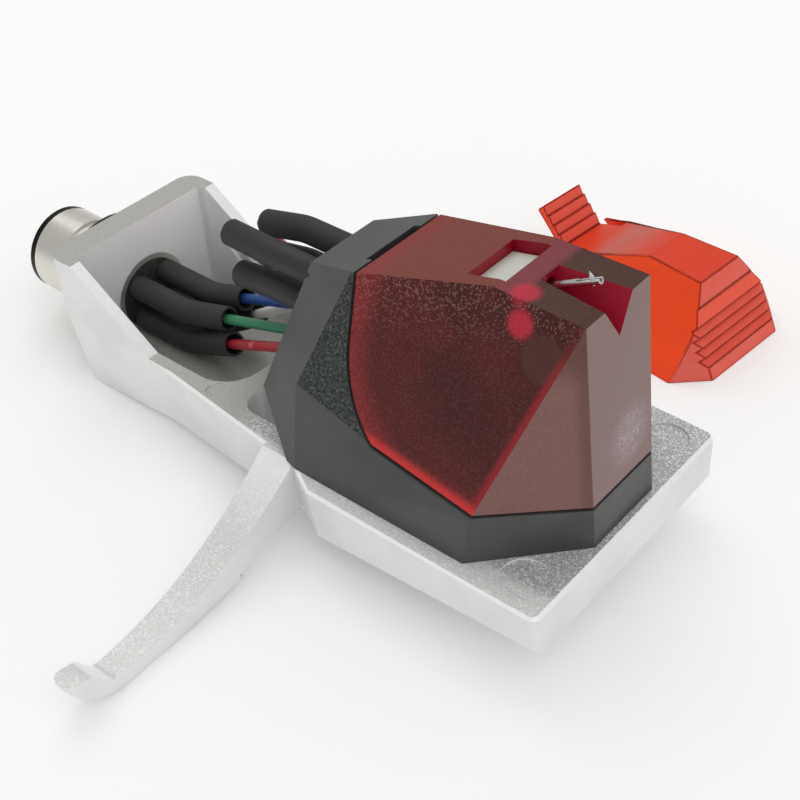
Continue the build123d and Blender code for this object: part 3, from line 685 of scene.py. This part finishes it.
@dataclass(frozen=True)
class RubyPlastic(Finish):
    """Translucent ruby plastic, eroded on its side facets, with painted light and shade in each facet's own
    tone, paler at the front from haze and a painted reflection, and with painted glow along its seam, its
    edges and the walls of its window and notch.
    """

    name: str = "ruby_plastic"
    node: str = "stylus_holder"
    crown_way: Triple = (-0.26, 0.0, 0.97)
    corner_way: Triple = (0.73, 0.68, 0.07)
    foot_way: Triple = (-0.1, 0.0, -1.0)
    front_way: Triple = (1.0, 0.0, 0.1)

    side: Colour = (0.095, 0.009, 0.009, 1.0)
    shade: Colour = (0.057, 0.008, 0.007, 1.0)
    shade_band: Band = (0.4, 0.62)
    shade_specks: float = 0.45
    dust: Colour = (0.27, 0.15, 0.125, 1.0)
    dust_band: Band = (4.5 * MM, 0.6 * MM)
    dust_shares: Band = (0.14, 0.62)
    # Painted glow: light shining through the plastic along the rear seam
    seam: Colour = (0.26, 0.017, 0.021, 1.0)
    seam_centre: Band = (52.0 * MM, 14.3 * MM)
    seam_r: float = 8.6 * MM
    seam_glow_band: Band = (2.4 * MM, 0.2 * MM)
    seam_glow_share: float = 0.9
    # Painted glow: light shining through the plastic along the bottom edge
    foot: Colour = (0.55, 0.03, 0.028, 1.0)
    foot_glow_band: Band = (0.9 * MM, 0.15 * MM)
    foot_glow_share: float = 0.95
    # Painted glow: light shining through the plastic along the edge with the slanting facets, lower down
    edge_glow: Colour = (0.3, 0.013, 0.018, 1.0)
    edge_glow_band: Band = (0.6 * MM, 0.1 * MM)
    edge_glow_drop: Band = (1.5 * MM, 6.0 * MM)
    edge_glow_share: float = 0.8
    spot: Colour = (0.52, 0.017, 0.045, 1.0)
    spots: tuple[Triple, ...] = ((56.0 * MM, -2.8 * MM, 20.3 * MM), (56.6 * MM, -4.25 * MM, 18.9 * MM))
    spot_r: float = 1.35 * MM
    spot_share: float = 0.8
    # Painted shadow of the inner wall: a dark patch on each side facet
    painted_inner_shadow: Colour = (0.075, 0.024, 0.018, 1.0)
    inner_shadow_at: Triple = (58.9 * MM, 4.95 * MM, 17.4 * MM)
    inner_shadow_r: float = 1.9 * MM
    inner_shadow_core: float = 0.7

    crown: Colour = (0.187, 0.037, 0.024, 1.0)
    crown_glow_band: Band = (1.8 * MM, 0.2 * MM)
    crown_glow_share: float = 0.5
    crown_dust: float = 0.12
    bridge: Colour = (0.2, 0.036, 0.045, 1.0)
    bridge_x: float = 54.2 * MM
    bridge_fade: float = 0.5 * MM
    brow: Colour = (0.07, 0.025, 0.018, 1.0)
    brow_x: float = 55.9 * MM
    brow_fade: float = 0.4 * MM

    cheek: Colour = (0.21, 0.103, 0.092, 1.0)
    cheek_shade: Colour = (0.11, 0.045, 0.038, 1.0)
    cheek_specks: float = 0.3
    cheek_front: Band = (0.9 * MM, 0.2 * MM)
    cheek_front_share: float = 0.6
    cheek_top: Band = (15.5 * MM, 18.5 * MM)
    cheek_top_share: float = 0.9

    # Pale front tone: haze together with a painted reflection of the floor
    front: Colour = (0.22, 0.137, 0.126, 1.0)
    front_specks: float = 0.16
    front_x: float = 60.5 * MM
    lilac: Colour = (0.34, 0.26, 0.3, 1.0)
    patch_at: Triple = (62.4 * MM, 1.0 * MM, 9.0 * MM)
    patch_r: float = 3.2 * MM
    patch_core: float = 0.2
    patch_share: float = 0.5
    wear_and_highlight: Colour = (0.8, 0.78, 0.8, 1.0)
    wear_and_highlight_share: float = 0.3

    # Painted glow: bright crimson on the walls of the window and of the notch
    inner_glow: Colour = (0.3, 0.004, 0.022, 1.0)
    inner_half: float = 2.7 * MM
    inner_fade: float = 0.05 * MM

    roughness: Band = (0.5, 0.3)
    specular: float = 0.22
    transmission: float = 0.05
    grain_scale: float = 6500.0
    grain_height: float = 0.08 * MM
    fleck_share: float = 0.45
    relief: Band = (1.0, 0.15)
    bump_share: float = 0.4

    def wire(self, tree: Tree, shader: Node) -> None:
        """Connect the finish's textures to the shader.

        Args:
            tree: Material's node tree.
            shader: Shader that takes them.
        """
        grain = tree.group(Groups.grain(), Scale=self.grain_scale, Fleck_Share=self.fleck_share)
        facing = tree.group(Groups.facing())
        place = tree.folded()
        at = tree.parts(place)
        seam = self._from_seam(tree, at)
        # Each facet takes its own tone, which holds painted light and shade
        base = self._flank(tree, grain, place, seam)
        base = tree.mix(facing["Crown"], base, self._top(tree, grain, at, seam))
        base = tree.mix(facing["Cheek"], base, self._corner(tree, grain, place, at))
        base = tree.mix(facing["Front"], base, self._face(tree, grain))
        # Painted glow on the walls of the window and of the notch
        base = tree.mix(self._inner(tree, at, facing), base, self.inner_glow)
        polish = tree.larger(facing["Front"], facing["Cheek"])
        tree.fill(
            shader,
            Base_Color=base,
            Roughness=tree.ramp(polish, WHOLE, self.roughness),
            Specular_IOR_Level=self.specular,
            Transmission_Weight=self.transmission,
        )
        height = tree.times(grain["Height"], tree.ramp(polish, WHOLE, self.relief))
        self.bump(tree, shader, height, self.bump_share, self.grain_height)

    def _from_seam(self, tree: Tree, at: Sockets) -> Socket:
        """Measure the distance from the bowed rear seam, in the plane of the object's side view.

        Args:
            tree: Material's node tree.
            at: Folded coordinates by name.

        Returns:
            The distance's socket, in metres.
        """
        behind = tree.math("MINIMUM", tree.math("SUBTRACT", at["X"], self.seam_centre[0]), 0.0)
        below = tree.math("MINIMUM", tree.math("SUBTRACT", at["Z"], self.seam_centre[1]), 0.0)
        squares = tree.math("ADD", tree.math("POWER", behind, 2.0), tree.math("POWER", below, 2.0))
        return tree.math("SUBTRACT", self.seam_r, tree.math("SQRT", squares))

    def _flank(self, tree: Tree, grain: Sockets, place: Socket, seam: Socket) -> Socket:
        """Colour the side facets.

        Args:
            tree: Material's node tree.
            grain: Grain group's outputs.
            place: Folded coordinates.
            seam: Distance from the rear seam.

        Returns:
            The colour's socket.
        """
        crown = tree.depth(place, Facet.of(self.node, self.crown_way))
        corner = tree.depth(place, Facet.of(self.node, self.corner_way))
        foot = tree.depth(place, Facet.of(self.node, self.foot_way))
        base = tree.mix(tree.ramp(grain["Cloud"], self.shade_band), self.side, self.shade)
        # Painted glow along the rear seam
        base = tree.mix(tree.rise(seam, self.seam_glow_band, self.seam_glow_share), base, self.seam)
        base = tree.mix(tree.times(grain["Specks"], self.shade_specks), base, self.shade)
        dusty = tree.ramp(crown, self.dust_band, self.dust_shares)
        base = tree.mix(tree.times(grain["Flecks"], dusty), base, self.dust)
        # Painted shadow of the inner wall
        base = tree.mix(tree.ball(place, self.inner_shadow_at, self.inner_shadow_r, self.inner_shadow_core), base, self.painted_inner_shadow)
        # Painted glow along the edge with the slanting facets
        low = tree.rise(crown, self.edge_glow_drop, self.edge_glow_share)
        base = tree.mix(tree.times(tree.ramp(corner, self.edge_glow_band), low), base, self.edge_glow)
        # Painted glow along the bottom edge
        base = tree.mix(tree.rise(foot, self.foot_glow_band, self.foot_glow_share), base, self.foot)
        return self._spotted(tree, base)

    def _spotted(self, tree: Tree, base: Socket) -> Socket:
        """Add the light that the cantilever's cavity throws through the plastic.

        Args:
            tree: Material's node tree.
            base: Colour without the light.

        Returns:
            The colour's socket.
        """
        for centre in self.spots:
            lit = tree.times(tree.ball(tree.place(), centre, self.spot_r), self.spot_share)
            base = tree.mix(lit, base, self.spot)
        return base

    def _top(self, tree: Tree, grain: Sockets, at: Sockets, seam: Socket) -> Socket:
        """Colour the crown.

        Args:
            tree: Material's node tree.
            grain: Grain group's outputs.
            at: Folded coordinates by name.
            seam: Distance from the rear seam.

        Returns:
            The colour's socket.
        """
        # Painted glow along the rear seam, also on the crown
        base = tree.mix(tree.rise(seam, self.crown_glow_band, self.crown_glow_share), self.crown, self.seam)
        bridge = tree.ramp(at["X"], (self.bridge_x - self.bridge_fade, self.bridge_x))
        base = tree.mix(bridge, base, self.bridge)
        brow = tree.ramp(at["X"], (self.brow_x - self.brow_fade, self.brow_x + self.brow_fade))
        base = tree.mix(brow, base, self.brow)
        base = tree.mix(tree.times(grain["Flecks"], self.crown_dust), base, self.dust)
        return self._spotted(tree, base)

    def _corner(self, tree: Tree, grain: Sockets, place: Socket, at: Sockets) -> Socket:
        """Colour the slanting facets beside the front, darker towards the front and the crown.

        Args:
            tree: Material's node tree.
            grain: Grain group's outputs.
            place: Folded coordinates.
            at: The same coordinates by name.

        Returns:
            The colour's socket.
        """
        ahead = tree.depth(place, Facet.of(self.node, self.front_way))
        base = tree.mix(tree.times(grain["Specks"], self.cheek_specks), self.cheek, self.cheek_shade)
        near = tree.rise(ahead, self.cheek_front, self.cheek_front_share)
        base = tree.mix(near, base, self.cheek_shade)
        high = tree.rise(at["Z"], self.cheek_top, self.cheek_top_share)
        return tree.mix(high, base, self.cheek_shade)

    def _face(self, tree: Tree, grain: Sockets) -> Socket:
        """Colour the front with its pale patch.

        Args:
            tree: Material's node tree.
            grain: Grain group's outputs.

        Returns:
            The colour's socket.
        """
        patch = tree.ball(tree.place(), self.patch_at, self.patch_r, self.patch_core)
        base = tree.mix(tree.times(grain["Specks"], self.front_specks), self.front, self.cheek)
        base = tree.mix(tree.times(patch, self.patch_share), base, self.lilac)
        wear_and_highlight = tree.times(tree.times(grain["Flecks"], patch), self.wear_and_highlight_share)
        return tree.mix(wear_and_highlight, base, self.wear_and_highlight)

    def _inner(self, tree: Tree, at: Sockets, facing: Sockets) -> Socket:
        """Mask the walls of the window and of the notch, which take a painted glow.

        Args:
            tree: Material's node tree.
            at: Folded coordinates by name.
            facing: Facing group's outputs.

        Returns:
            The mask's socket.
        """
        near = tree.ramp(at["Y"], (self.inner_half + self.inner_fade, self.inner_half))
        face = tree.times(facing["Front"], tree.math("GREATER_THAN", at["X"], self.front_x))
        outer = tree.larger(facing["Crown"], face)
        return tree.times(near, tree.math("SUBTRACT", 1.0, outer, clamp=True))


@dataclass(frozen=True)
class OrangePlastic(Finish):
    """Clear-tinted orange plastic, paler at the front and at the rear of its top from a painted reflection,
    and dark along its edges from painted shade.
    """

    name: str = "orange_plastic"
    flank: Colour = (0.93, 0.074, 0.014, 1.0)
    top: Colour = (0.66, 0.046, 0.014, 1.0)
    # Painted reflection: paler tones for the front faces and for a band of the top
    pale: Colour = (0.7, 0.12, 0.09, 1.0)
    painted_reflection: Colour = (0.52, 0.12, 0.09, 1.0)
    reflection_from: float = 46.5 * MM
    reflection_to: float = 42.5 * MM
    root_x: float = 39.5 * MM
    # Painted shade: dark red along the facet edges
    edge: Colour = (0.4, 0.018, 0.009, 1.0)
    edge_power: float = 2.0
    cloud_scale: float = 400.0
    cloud_band: Band = (0.35, 0.7)
    cloud_share: float = 0.2
    roughness_band: Band = (0.3, 0.7)
    roughness: Band = (0.32, 0.45)
    specular: float = 0.2

    def wire(self, tree: Tree, shader: Node) -> None:
        """Connect the finish's textures to the shader.

        Args:
            tree: Material's node tree.
            shader: Shader that takes them.
        """
        facing = tree.group(Groups.facing())
        at = tree.parts(tree.place())
        # Painted reflection on a band of the top
        rear = tree.ramp(at["X"], (self.reflection_from, self.reflection_to))
        reflection_mask = tree.times(rear, tree.ramp(at["X"], (self.root_x, self.reflection_to)))
        top = tree.mix(reflection_mask, self.top, self.painted_reflection)
        base = tree.mix(facing["Crown"], self.flank, top)
        # Painted reflection on the front faces
        base = tree.mix(tree.larger(facing["Front"], facing["Cheek"]), base, self.pale)
        cloud = tree.noise(tree.place(), self.cloud_scale)
        base = tree.mix(tree.rise(cloud, self.cloud_band, self.cloud_share), base, self.top)
        # Painted shade along the facet edges
        rim = tree.math("POWER", tree.rim(), self.edge_power)
        tree.fill(
            shader,
            Base_Color=tree.mix(rim, base, self.edge),
            Roughness=tree.ramp(cloud, self.roughness_band, self.roughness),
            Specular_IOR_Level=self.specular,
        )


CAST = CastMetal()
NICKEL = TurnedMetal(
    "nickel", (0.78, 0.76, 0.69, 1.0), roughness=0.36, line_scale=5000.0, metallic=0.8, black_to=0.85 * MM
)
STEEL = TurnedMetal("steel", (0.56, 0.56, 0.57, 1.0), roughness=0.3)
BRASS = TurnedMetal("brass", (0.72, 0.5, 0.2, 1.0), roughness=0.28)
GOLD = TurnedMetal("gold", (0.83, 0.6, 0.24, 1.0), roughness=0.24)
COPPER = TurnedMetal("copper", (0.66, 0.29, 0.14, 1.0), roughness=0.35, line_scale=22000.0)
BRIGHT_ALUMINIUM = TurnedMetal("bright_aluminium", (0.82, 0.84, 0.81, 1.0), roughness=0.28)
SATIN_ALUMINIUM = TurnedMetal(
    "satin_aluminium", (0.64, 0.68, 0.6, 1.0), roughness=0.45, line_scale=6000.0, metallic=0.3
)
RUBBER = Moulding("black_rubber", (0.018, 0.018, 0.018, 1.0), (0.06, 0.06, 0.06, 1.0), roughness=0.6)
SHRINK = Moulding(
    "shrink_sleeve",
    (0.022, 0.023, 0.022, 1.0),
    (0.06, 0.063, 0.06, 1.0),
    roughness=0.62,
    grain_scale=3000.0,
    fleck_share=0.0,
)
BLACK = Moulding("black_plastic", (0.03, 0.032, 0.03, 1.0), (0.1, 0.1, 0.1, 1.0), roughness=0.42)
BODY = BlackGem()
RUBY = RubyPlastic()
ORANGE = OrangePlastic()
DIAMOND = Moulding("diamond", (0.5, 0.5, 0.52, 1.0), (0.8, 0.8, 0.82, 1.0), roughness=0.15)
INSULATION = {
    "green": Insulation("wire_green", (0.03, 0.2, 0.09, 1.0), (0.2, 0.42, 0.28, 1.0)),
    "red": Insulation("wire_red", (0.36, 0.02, 0.03, 1.0), (0.55, 0.14, 0.14, 1.0)),
    "blue": Insulation("wire_blue", (0.02, 0.06, 0.24, 1.0), (0.12, 0.2, 0.42, 1.0)),
    "white": Insulation("wire_white", (0.72, 0.71, 0.68, 1.0), (0.8, 0.8, 0.8, 1.0)),
}


def deselect() -> None:
    """Leave edit mode and deselect everything."""
    if bpy.context.object and bpy.context.object.mode != "OBJECT":
        bpy.ops.object.mode_set(mode="OBJECT")
    bpy.ops.object.select_all(action="DESELECT")


def activate(piece: Object) -> None:
    """Select one object alone and make it active.

    Args:
        piece: Object to select.
    """
    deselect()
    piece.select_set(True)
    bpy.context.view_layer.objects.active = piece


def paint(piece: Object, finish: Finish) -> None:
    """Give an object one finish in its only slot."""
    piece.data.materials.clear()
    piece.data.materials.append(finish.material())


def dressed(finish: Finish, *nodes: str) -> list[Object]:
    """Give CAD nodes a finish where they stand.

    Args:
        finish: Finish for all of them.
        nodes: Names of the CAD nodes.

    Returns:
        The dressed nodes.
    """
    pieces = [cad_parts[name] for name in nodes]
    for piece in pieces:
        paint(piece, finish)
    return pieces


def keep_inside(mesh: bpy.types.Mesh, source: Object) -> None:
    """Pull back the corners that the dressing pushed past the CAD node's box.

    Args:
        mesh: Mesh of the dressed copy.
        source: CAD node that it was copied from.
    """
    axes = list(zip(*source.bound_box))
    low = [min(axis) for axis in axes]
    high = [max(axis) for axis in axes]
    for vertex in mesh.vertices:
        vertex.co = [min(max(part, least), most) for part, least, most in zip(vertex.co, low, high)]


def softened(node: str, width: float, body: Body, finish: Finish, slot: str, segments: int = 2,
             smooth: float = SMOOTH_ANGLE) -> Object:
    """Stand a copy of a CAD node, with its sharp edges rounded, in its place.

    Args:
        node: CAD node to copy and replace.
        width: Width of the rounding in metres.
        body: Body that the copy rides on.
        finish: Finish of the copy.
        slot: Not used.
        segments: Faces across each rounding.
        smooth: Angle in degrees below which neighbouring faces are shaded as one.

    Returns:
        The new piece.
    """
    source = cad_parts[node]
    piece = bpy.data.objects.new(node + "_soft", source.data.copy())
    bpy.context.scene.collection.objects.link(piece)
    activate(piece)
    bpy.ops.object.mode_set(mode="EDIT")
    bpy.ops.mesh.select_all(action="SELECT")
    bpy.ops.mesh.remove_doubles(threshold=MERGE_DISTANCE)
    bpy.ops.mesh.dissolve_limited(angle_limit=math.radians(FLAT_ANGLE))
    bpy.ops.mesh.select_all(action="DESELECT")
    bpy.ops.object.mode_set(mode="OBJECT")
    bevel = piece.modifiers.new("rounding", "BEVEL")
    bevel.width = width
    bevel.segments = segments
    bevel.limit_method = "ANGLE"
    bevel.angle_limit = math.radians(BEVEL_ANGLE)
    bevel.use_clamp_overlap = True
    bpy.ops.object.modifier_apply(modifier=bevel.name)
    bpy.ops.object.shade_smooth_by_angle(angle=math.radians(smooth))
    level = piece.modifiers.new("flat_facets", "WEIGHTED_NORMAL")
    level.keep_sharp = True
    bpy.ops.object.modifier_apply(modifier=level.name)
    paint(piece, finish)
    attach(piece, body.value)
    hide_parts(node)
    return piece


def plane_key(face: bpy.types.MeshPolygon) -> tuple[int, ...]:
    """Number the plane that a face lies in, rounded so that coplanar faces share it."""
    normal = face.normal
    return (*(round(PLANE_STEPS * part) for part in normal), round(face.center.dot(normal) / PLANE_GRID))


def rimmed(piece: Object, width: float, least_area: float) -> None:
    """Write an edge mask on a piece's flat facets: 1 at their edges and 0 inside.

    Args:
        piece: Piece with flat facets.
        width: Width over which the mask fades, in metres.
        least_area: Facets below this area, in square metres, keep 1 throughout.
    """
    mesh = piece.data
    mesh.attributes.new(RIM, "FLOAT", "POINT")
    mesh.attributes[RIM].data.foreach_set("value", [1.0] * len(mesh.vertices))
    areas: dict[tuple[int, ...], float] = {}
    for face in mesh.polygons:
        areas[plane_key(face)] = areas.get(plane_key(face), 0.0) + face.area
    activate(piece)
    for key in [key for key, area in areas.items() if area > least_area]:
        bpy.ops.object.mode_set(mode="EDIT")
        bpy.ops.mesh.select_mode(type="FACE")
        bpy.ops.mesh.select_all(action="DESELECT")
        bpy.ops.object.mode_set(mode="OBJECT")
        for face in mesh.polygons:
            face.select = plane_key(face) == key
        bpy.ops.object.mode_set(mode="EDIT")
        bpy.ops.mesh.inset(thickness=width, use_even_offset=True)
        bpy.ops.object.mode_set(mode="OBJECT")
        values = mesh.attributes[RIM].data
        for face in mesh.polygons:
            if face.select:
                for corner in face.vertices:
                    values[corner].value = 0.0


@dataclass
class Headshell:
    """Casting, connector and mounting screws."""

    edge: float = 0.3 * MM
    edge_faces: int = 3

    def build(self) -> list[Object]:
        """Dress the headshell's pieces.

        Returns:
            The dressed pieces.
        """
        shape = (self.edge, Body.HEADSHELL, CAST, "cast_aluminium", self.edge_faces)
        pieces = [softened("headshell_casting", *shape)]
        pieces += dressed(NICKEL, "connector_tube")
        pieces += dressed(STEEL, "bayonet_pin")
        pieces += dressed(RUBBER, "collar_gasket")
        pieces += dressed(BLACK, "contact_insulator")
        for side in SIDES:
            pieces += dressed(STEEL, f"mounting_screw_{side}", f"screw_washer_{side}")
            pieces += dressed(BRASS, f"mount_insert_{side}")
        return pieces


@dataclass
class Leads:
    """Lead wires with their clips, sleeves and pins."""

    lip: float = 0.08 * MM

    def build(self) -> list[Object]:
        """Dress the four leads.

        Returns:
            The dressed pieces.
        """
        pieces: list[Object] = []
        for colour in COLOURS:
            pieces += dressed(INSULATION[colour], f"lead_wire_{colour}")
            for end in ENDS:
                pieces += dressed(GOLD, f"{end}_clip_{colour}")
                pieces.append(softened(f"{end}_sleeve_{colour}", self.lip, Body.HEADSHELL, SHRINK, "sleeve"))
            pieces += dressed(GOLD, f"contact_pin_{colour}", f"output_pin_{colour}")
        return pieces


@dataclass
class Cartridge:
    """Black body with its generator."""

    node: str = "cartridge_body"
    edge: float = 0.12 * MM

    def build(self) -> list[Object]:
        """Dress the body and the pieces inside it.

        Returns:
            The dressed pieces.
        """
        pieces = [softened(self.node, self.edge, Body.HEADSHELL, BODY, "black_plastic", smooth=FACET_ANGLE)]
        pieces += dressed(BLACK, "terminal_plate")
        for colour in COLOURS:
            pieces += dressed(COPPER, f"coil_{colour}")
            pieces += dressed(STEEL, f"pole_piece_{colour}")
        return pieces


@dataclass
class StylusUnit:
    """Ruby holder and the suspended cantilever."""

    holder: str = "stylus_holder"
    carrier: str = "suspension_carrier"
    edge: float = 0.1 * MM

    def build(self) -> list[Object]:
        """Dress the stylus unit.

        Returns:
            The dressed pieces.
        """
        body = Body.STYLUS_UNIT
        pieces = [
            softened(self.holder, self.edge, body, RUBY, "ruby", smooth=FACET_ANGLE),
            softened(self.carrier, self.edge, body, SATIN_ALUMINIUM, "bright_aluminium"),
        ]
        pieces += dressed(BRASS, "suspension_sleeve")
        pieces += dressed(RUBBER, "damper_ring")
        pieces += dressed(STEEL, "tie_wire", "magnet")
        pieces += dressed(BRIGHT_ALUMINIUM, "cantilever")
        pieces += dressed(DIAMOND, "stylus_tip")
        return pieces


@dataclass
class Guard:
    """Loose stylus guard."""

    node: str = "stylus_guard"
    edge: float = 0.08 * MM
    rim: float = 0.1 * MM
    least_facet: float = 0.2 * MM * MM

    def build(self) -> list[Object]:
        """Dress the guard.

        Returns:
            The dressed piece, alone in a list.
        """
        guard = softened(self.node, self.edge, Body.GUARD, ORANGE, "orange_plastic", smooth=FACET_ANGLE)
        rimmed(guard, self.rim, self.least_facet)
        keep_inside(guard.data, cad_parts[self.node])
        return [guard]


@dataclass(frozen=True)
class Lamp:
    """Square lamp, with its place and size in metres and its power in watts."""

    name: str
    place: Triple
    size: float
    power: float

    def hang(self, aim: Triple) -> None:
        """Hang the lamp so that it points at the object.

        Args:
            aim: Place that it points at.
        """
        light = bpy.data.lights.new(self.name, "AREA")
        light.size = self.size
        light.energy = self.power
        holder = bpy.data.objects.new(self.name, light)
        holder.location = self.place
        holder.rotation_euler = (Vector(aim) - Vector(self.place)).to_track_quat("-Z", "Y").to_euler()
        bpy.context.scene.collection.objects.link(holder)


@dataclass
class Studio:
    """Floor, light and camera."""

    camera_place: Triple = (0.097878, -0.061705, 0.07221)
    camera_turn: Triple = (48.484, 1.182, 38.553)
    lens: float = 61.54
    sensor: float = 36.0
    shift: Band = (-0.0604, 0.0404)
    clip_start: float = 1.0 * MM
    floor_size: float = 3.0
    floor_tone: float = 0.925
    floor_warmth: float = 0.02
    floor_clouds: float = 9.0
    floor_roughness: float = 0.8
    floor_specular: float = 0.1
    shadow_share: float = 0.8
    ambient: float = 0.78
    mirrored: float = 0.4
    through_glass: float = 0.6
    aim: Triple = (0.035, 0.0, 0.0)
    lamps: tuple[Lamp, ...] = (
        Lamp("key", (-0.18, 0.16, 0.46), size=0.4, power=0.6),
        Lamp("fill", (0.30, -0.10, 0.40), size=0.4, power=0.45),
    )

    def build(self) -> None:
        """Set up the studio."""
        self._floor()
        self._world()
        for lamp in self.lamps:
            lamp.hang(self.aim)
        self._camera()
        bpy.context.scene.view_settings.view_transform = "Standard"

    def _floor(self) -> None:
        """Lay the floor under the object."""
        deselect()
        bottom = CAD_BOX[0][2]
        bpy.ops.mesh.primitive_plane_add(size=self.floor_size, location=(0, 0, bottom))
        floor = bpy.context.object
        floor.name = "floor"
        floor.data.materials.append(self._floor_material())

    def _floor_material(self) -> Material:
        """Make a pale floor that is white to the camera apart from shadow.

        Returns:
            The floor's material.
        """
        material = bpy.data.materials.new("studio_floor")
        material.use_nodes = True
        tree = Tree(material.node_tree)
        path = tree.add("LightPath").outputs
        seen = tree.larger(path["Is Camera Ray"], path["Is Glossy Ray"])
        seen = tree.larger(seen, path["Is Transmission Ray"])
        pale = (self.floor_tone, self.floor_tone, self.floor_tone, 1.0)
        warm = (self.floor_tone, self.floor_tone, self.floor_tone - self.floor_warmth, 1.0)
        tone = tree.mix(tree.noise(tree.place(), self.floor_clouds), pale, warm)
        share = tree.ramp(seen, WHOLE, (1.0, self.shadow_share))
        tree.fill(
            material.node_tree.nodes["Principled BSDF"],
            Base_Color=tree.mix(share, UNLIT, tone),
            Emission_Color=tone,
            Emission_Strength=tree.math("SUBTRACT", 1.0, share),
            Roughness=self.floor_roughness,
            Specular_IOR_Level=self.floor_specular,
        )
        return material

    def _world(self) -> None:
        """Light the scene evenly, show white to the camera and keep mirrored light dim."""
        world = bpy.data.worlds.new("studio_world")
        bpy.context.scene.world = world
        world.use_nodes = True
        tree = Tree(world.node_tree)
        path = tree.add("LightPath").outputs
        strength = tree.ramp(path["Is Glossy Ray"], WHOLE, (self.ambient, self.mirrored))
        strength = tree.larger(strength, tree.times(path["Is Transmission Ray"], self.through_glass))
        strength = tree.larger(strength, path["Is Camera Ray"])
        tree.fill(world.node_tree.nodes["Background"], Color=WHITE, Strength=strength)

    def _camera(self) -> None:
        """Place the camera at the photograph's viewing angle."""
        camera = bpy.data.cameras.new("camera")
        camera.lens = self.lens
        camera.sensor_width = self.sensor
        camera.shift_x, camera.shift_y = self.shift
        camera.clip_start = self.clip_start
        holder = bpy.data.objects.new("camera", camera)
        holder.location = self.camera_place
        holder.rotation_euler = [math.radians(turn) for turn in self.camera_turn]
        bpy.context.scene.collection.objects.link(holder)
        bpy.context.scene.camera = holder


def main() -> None:
    """Build the sub-assemblies in order, report each of their pieces and set up the studio."""
    logging.basicConfig(level=logging.INFO)
    for part in (Headshell(), Leads(), Cartridge(), StylusUnit(), Guard()):
        for piece in part.build():
            LOG.info("%s: %s dressed", type(part).__name__, piece.name)
    Studio().build()
    LOG.info("studio ready")


if __name__ == "__main__":
    main()
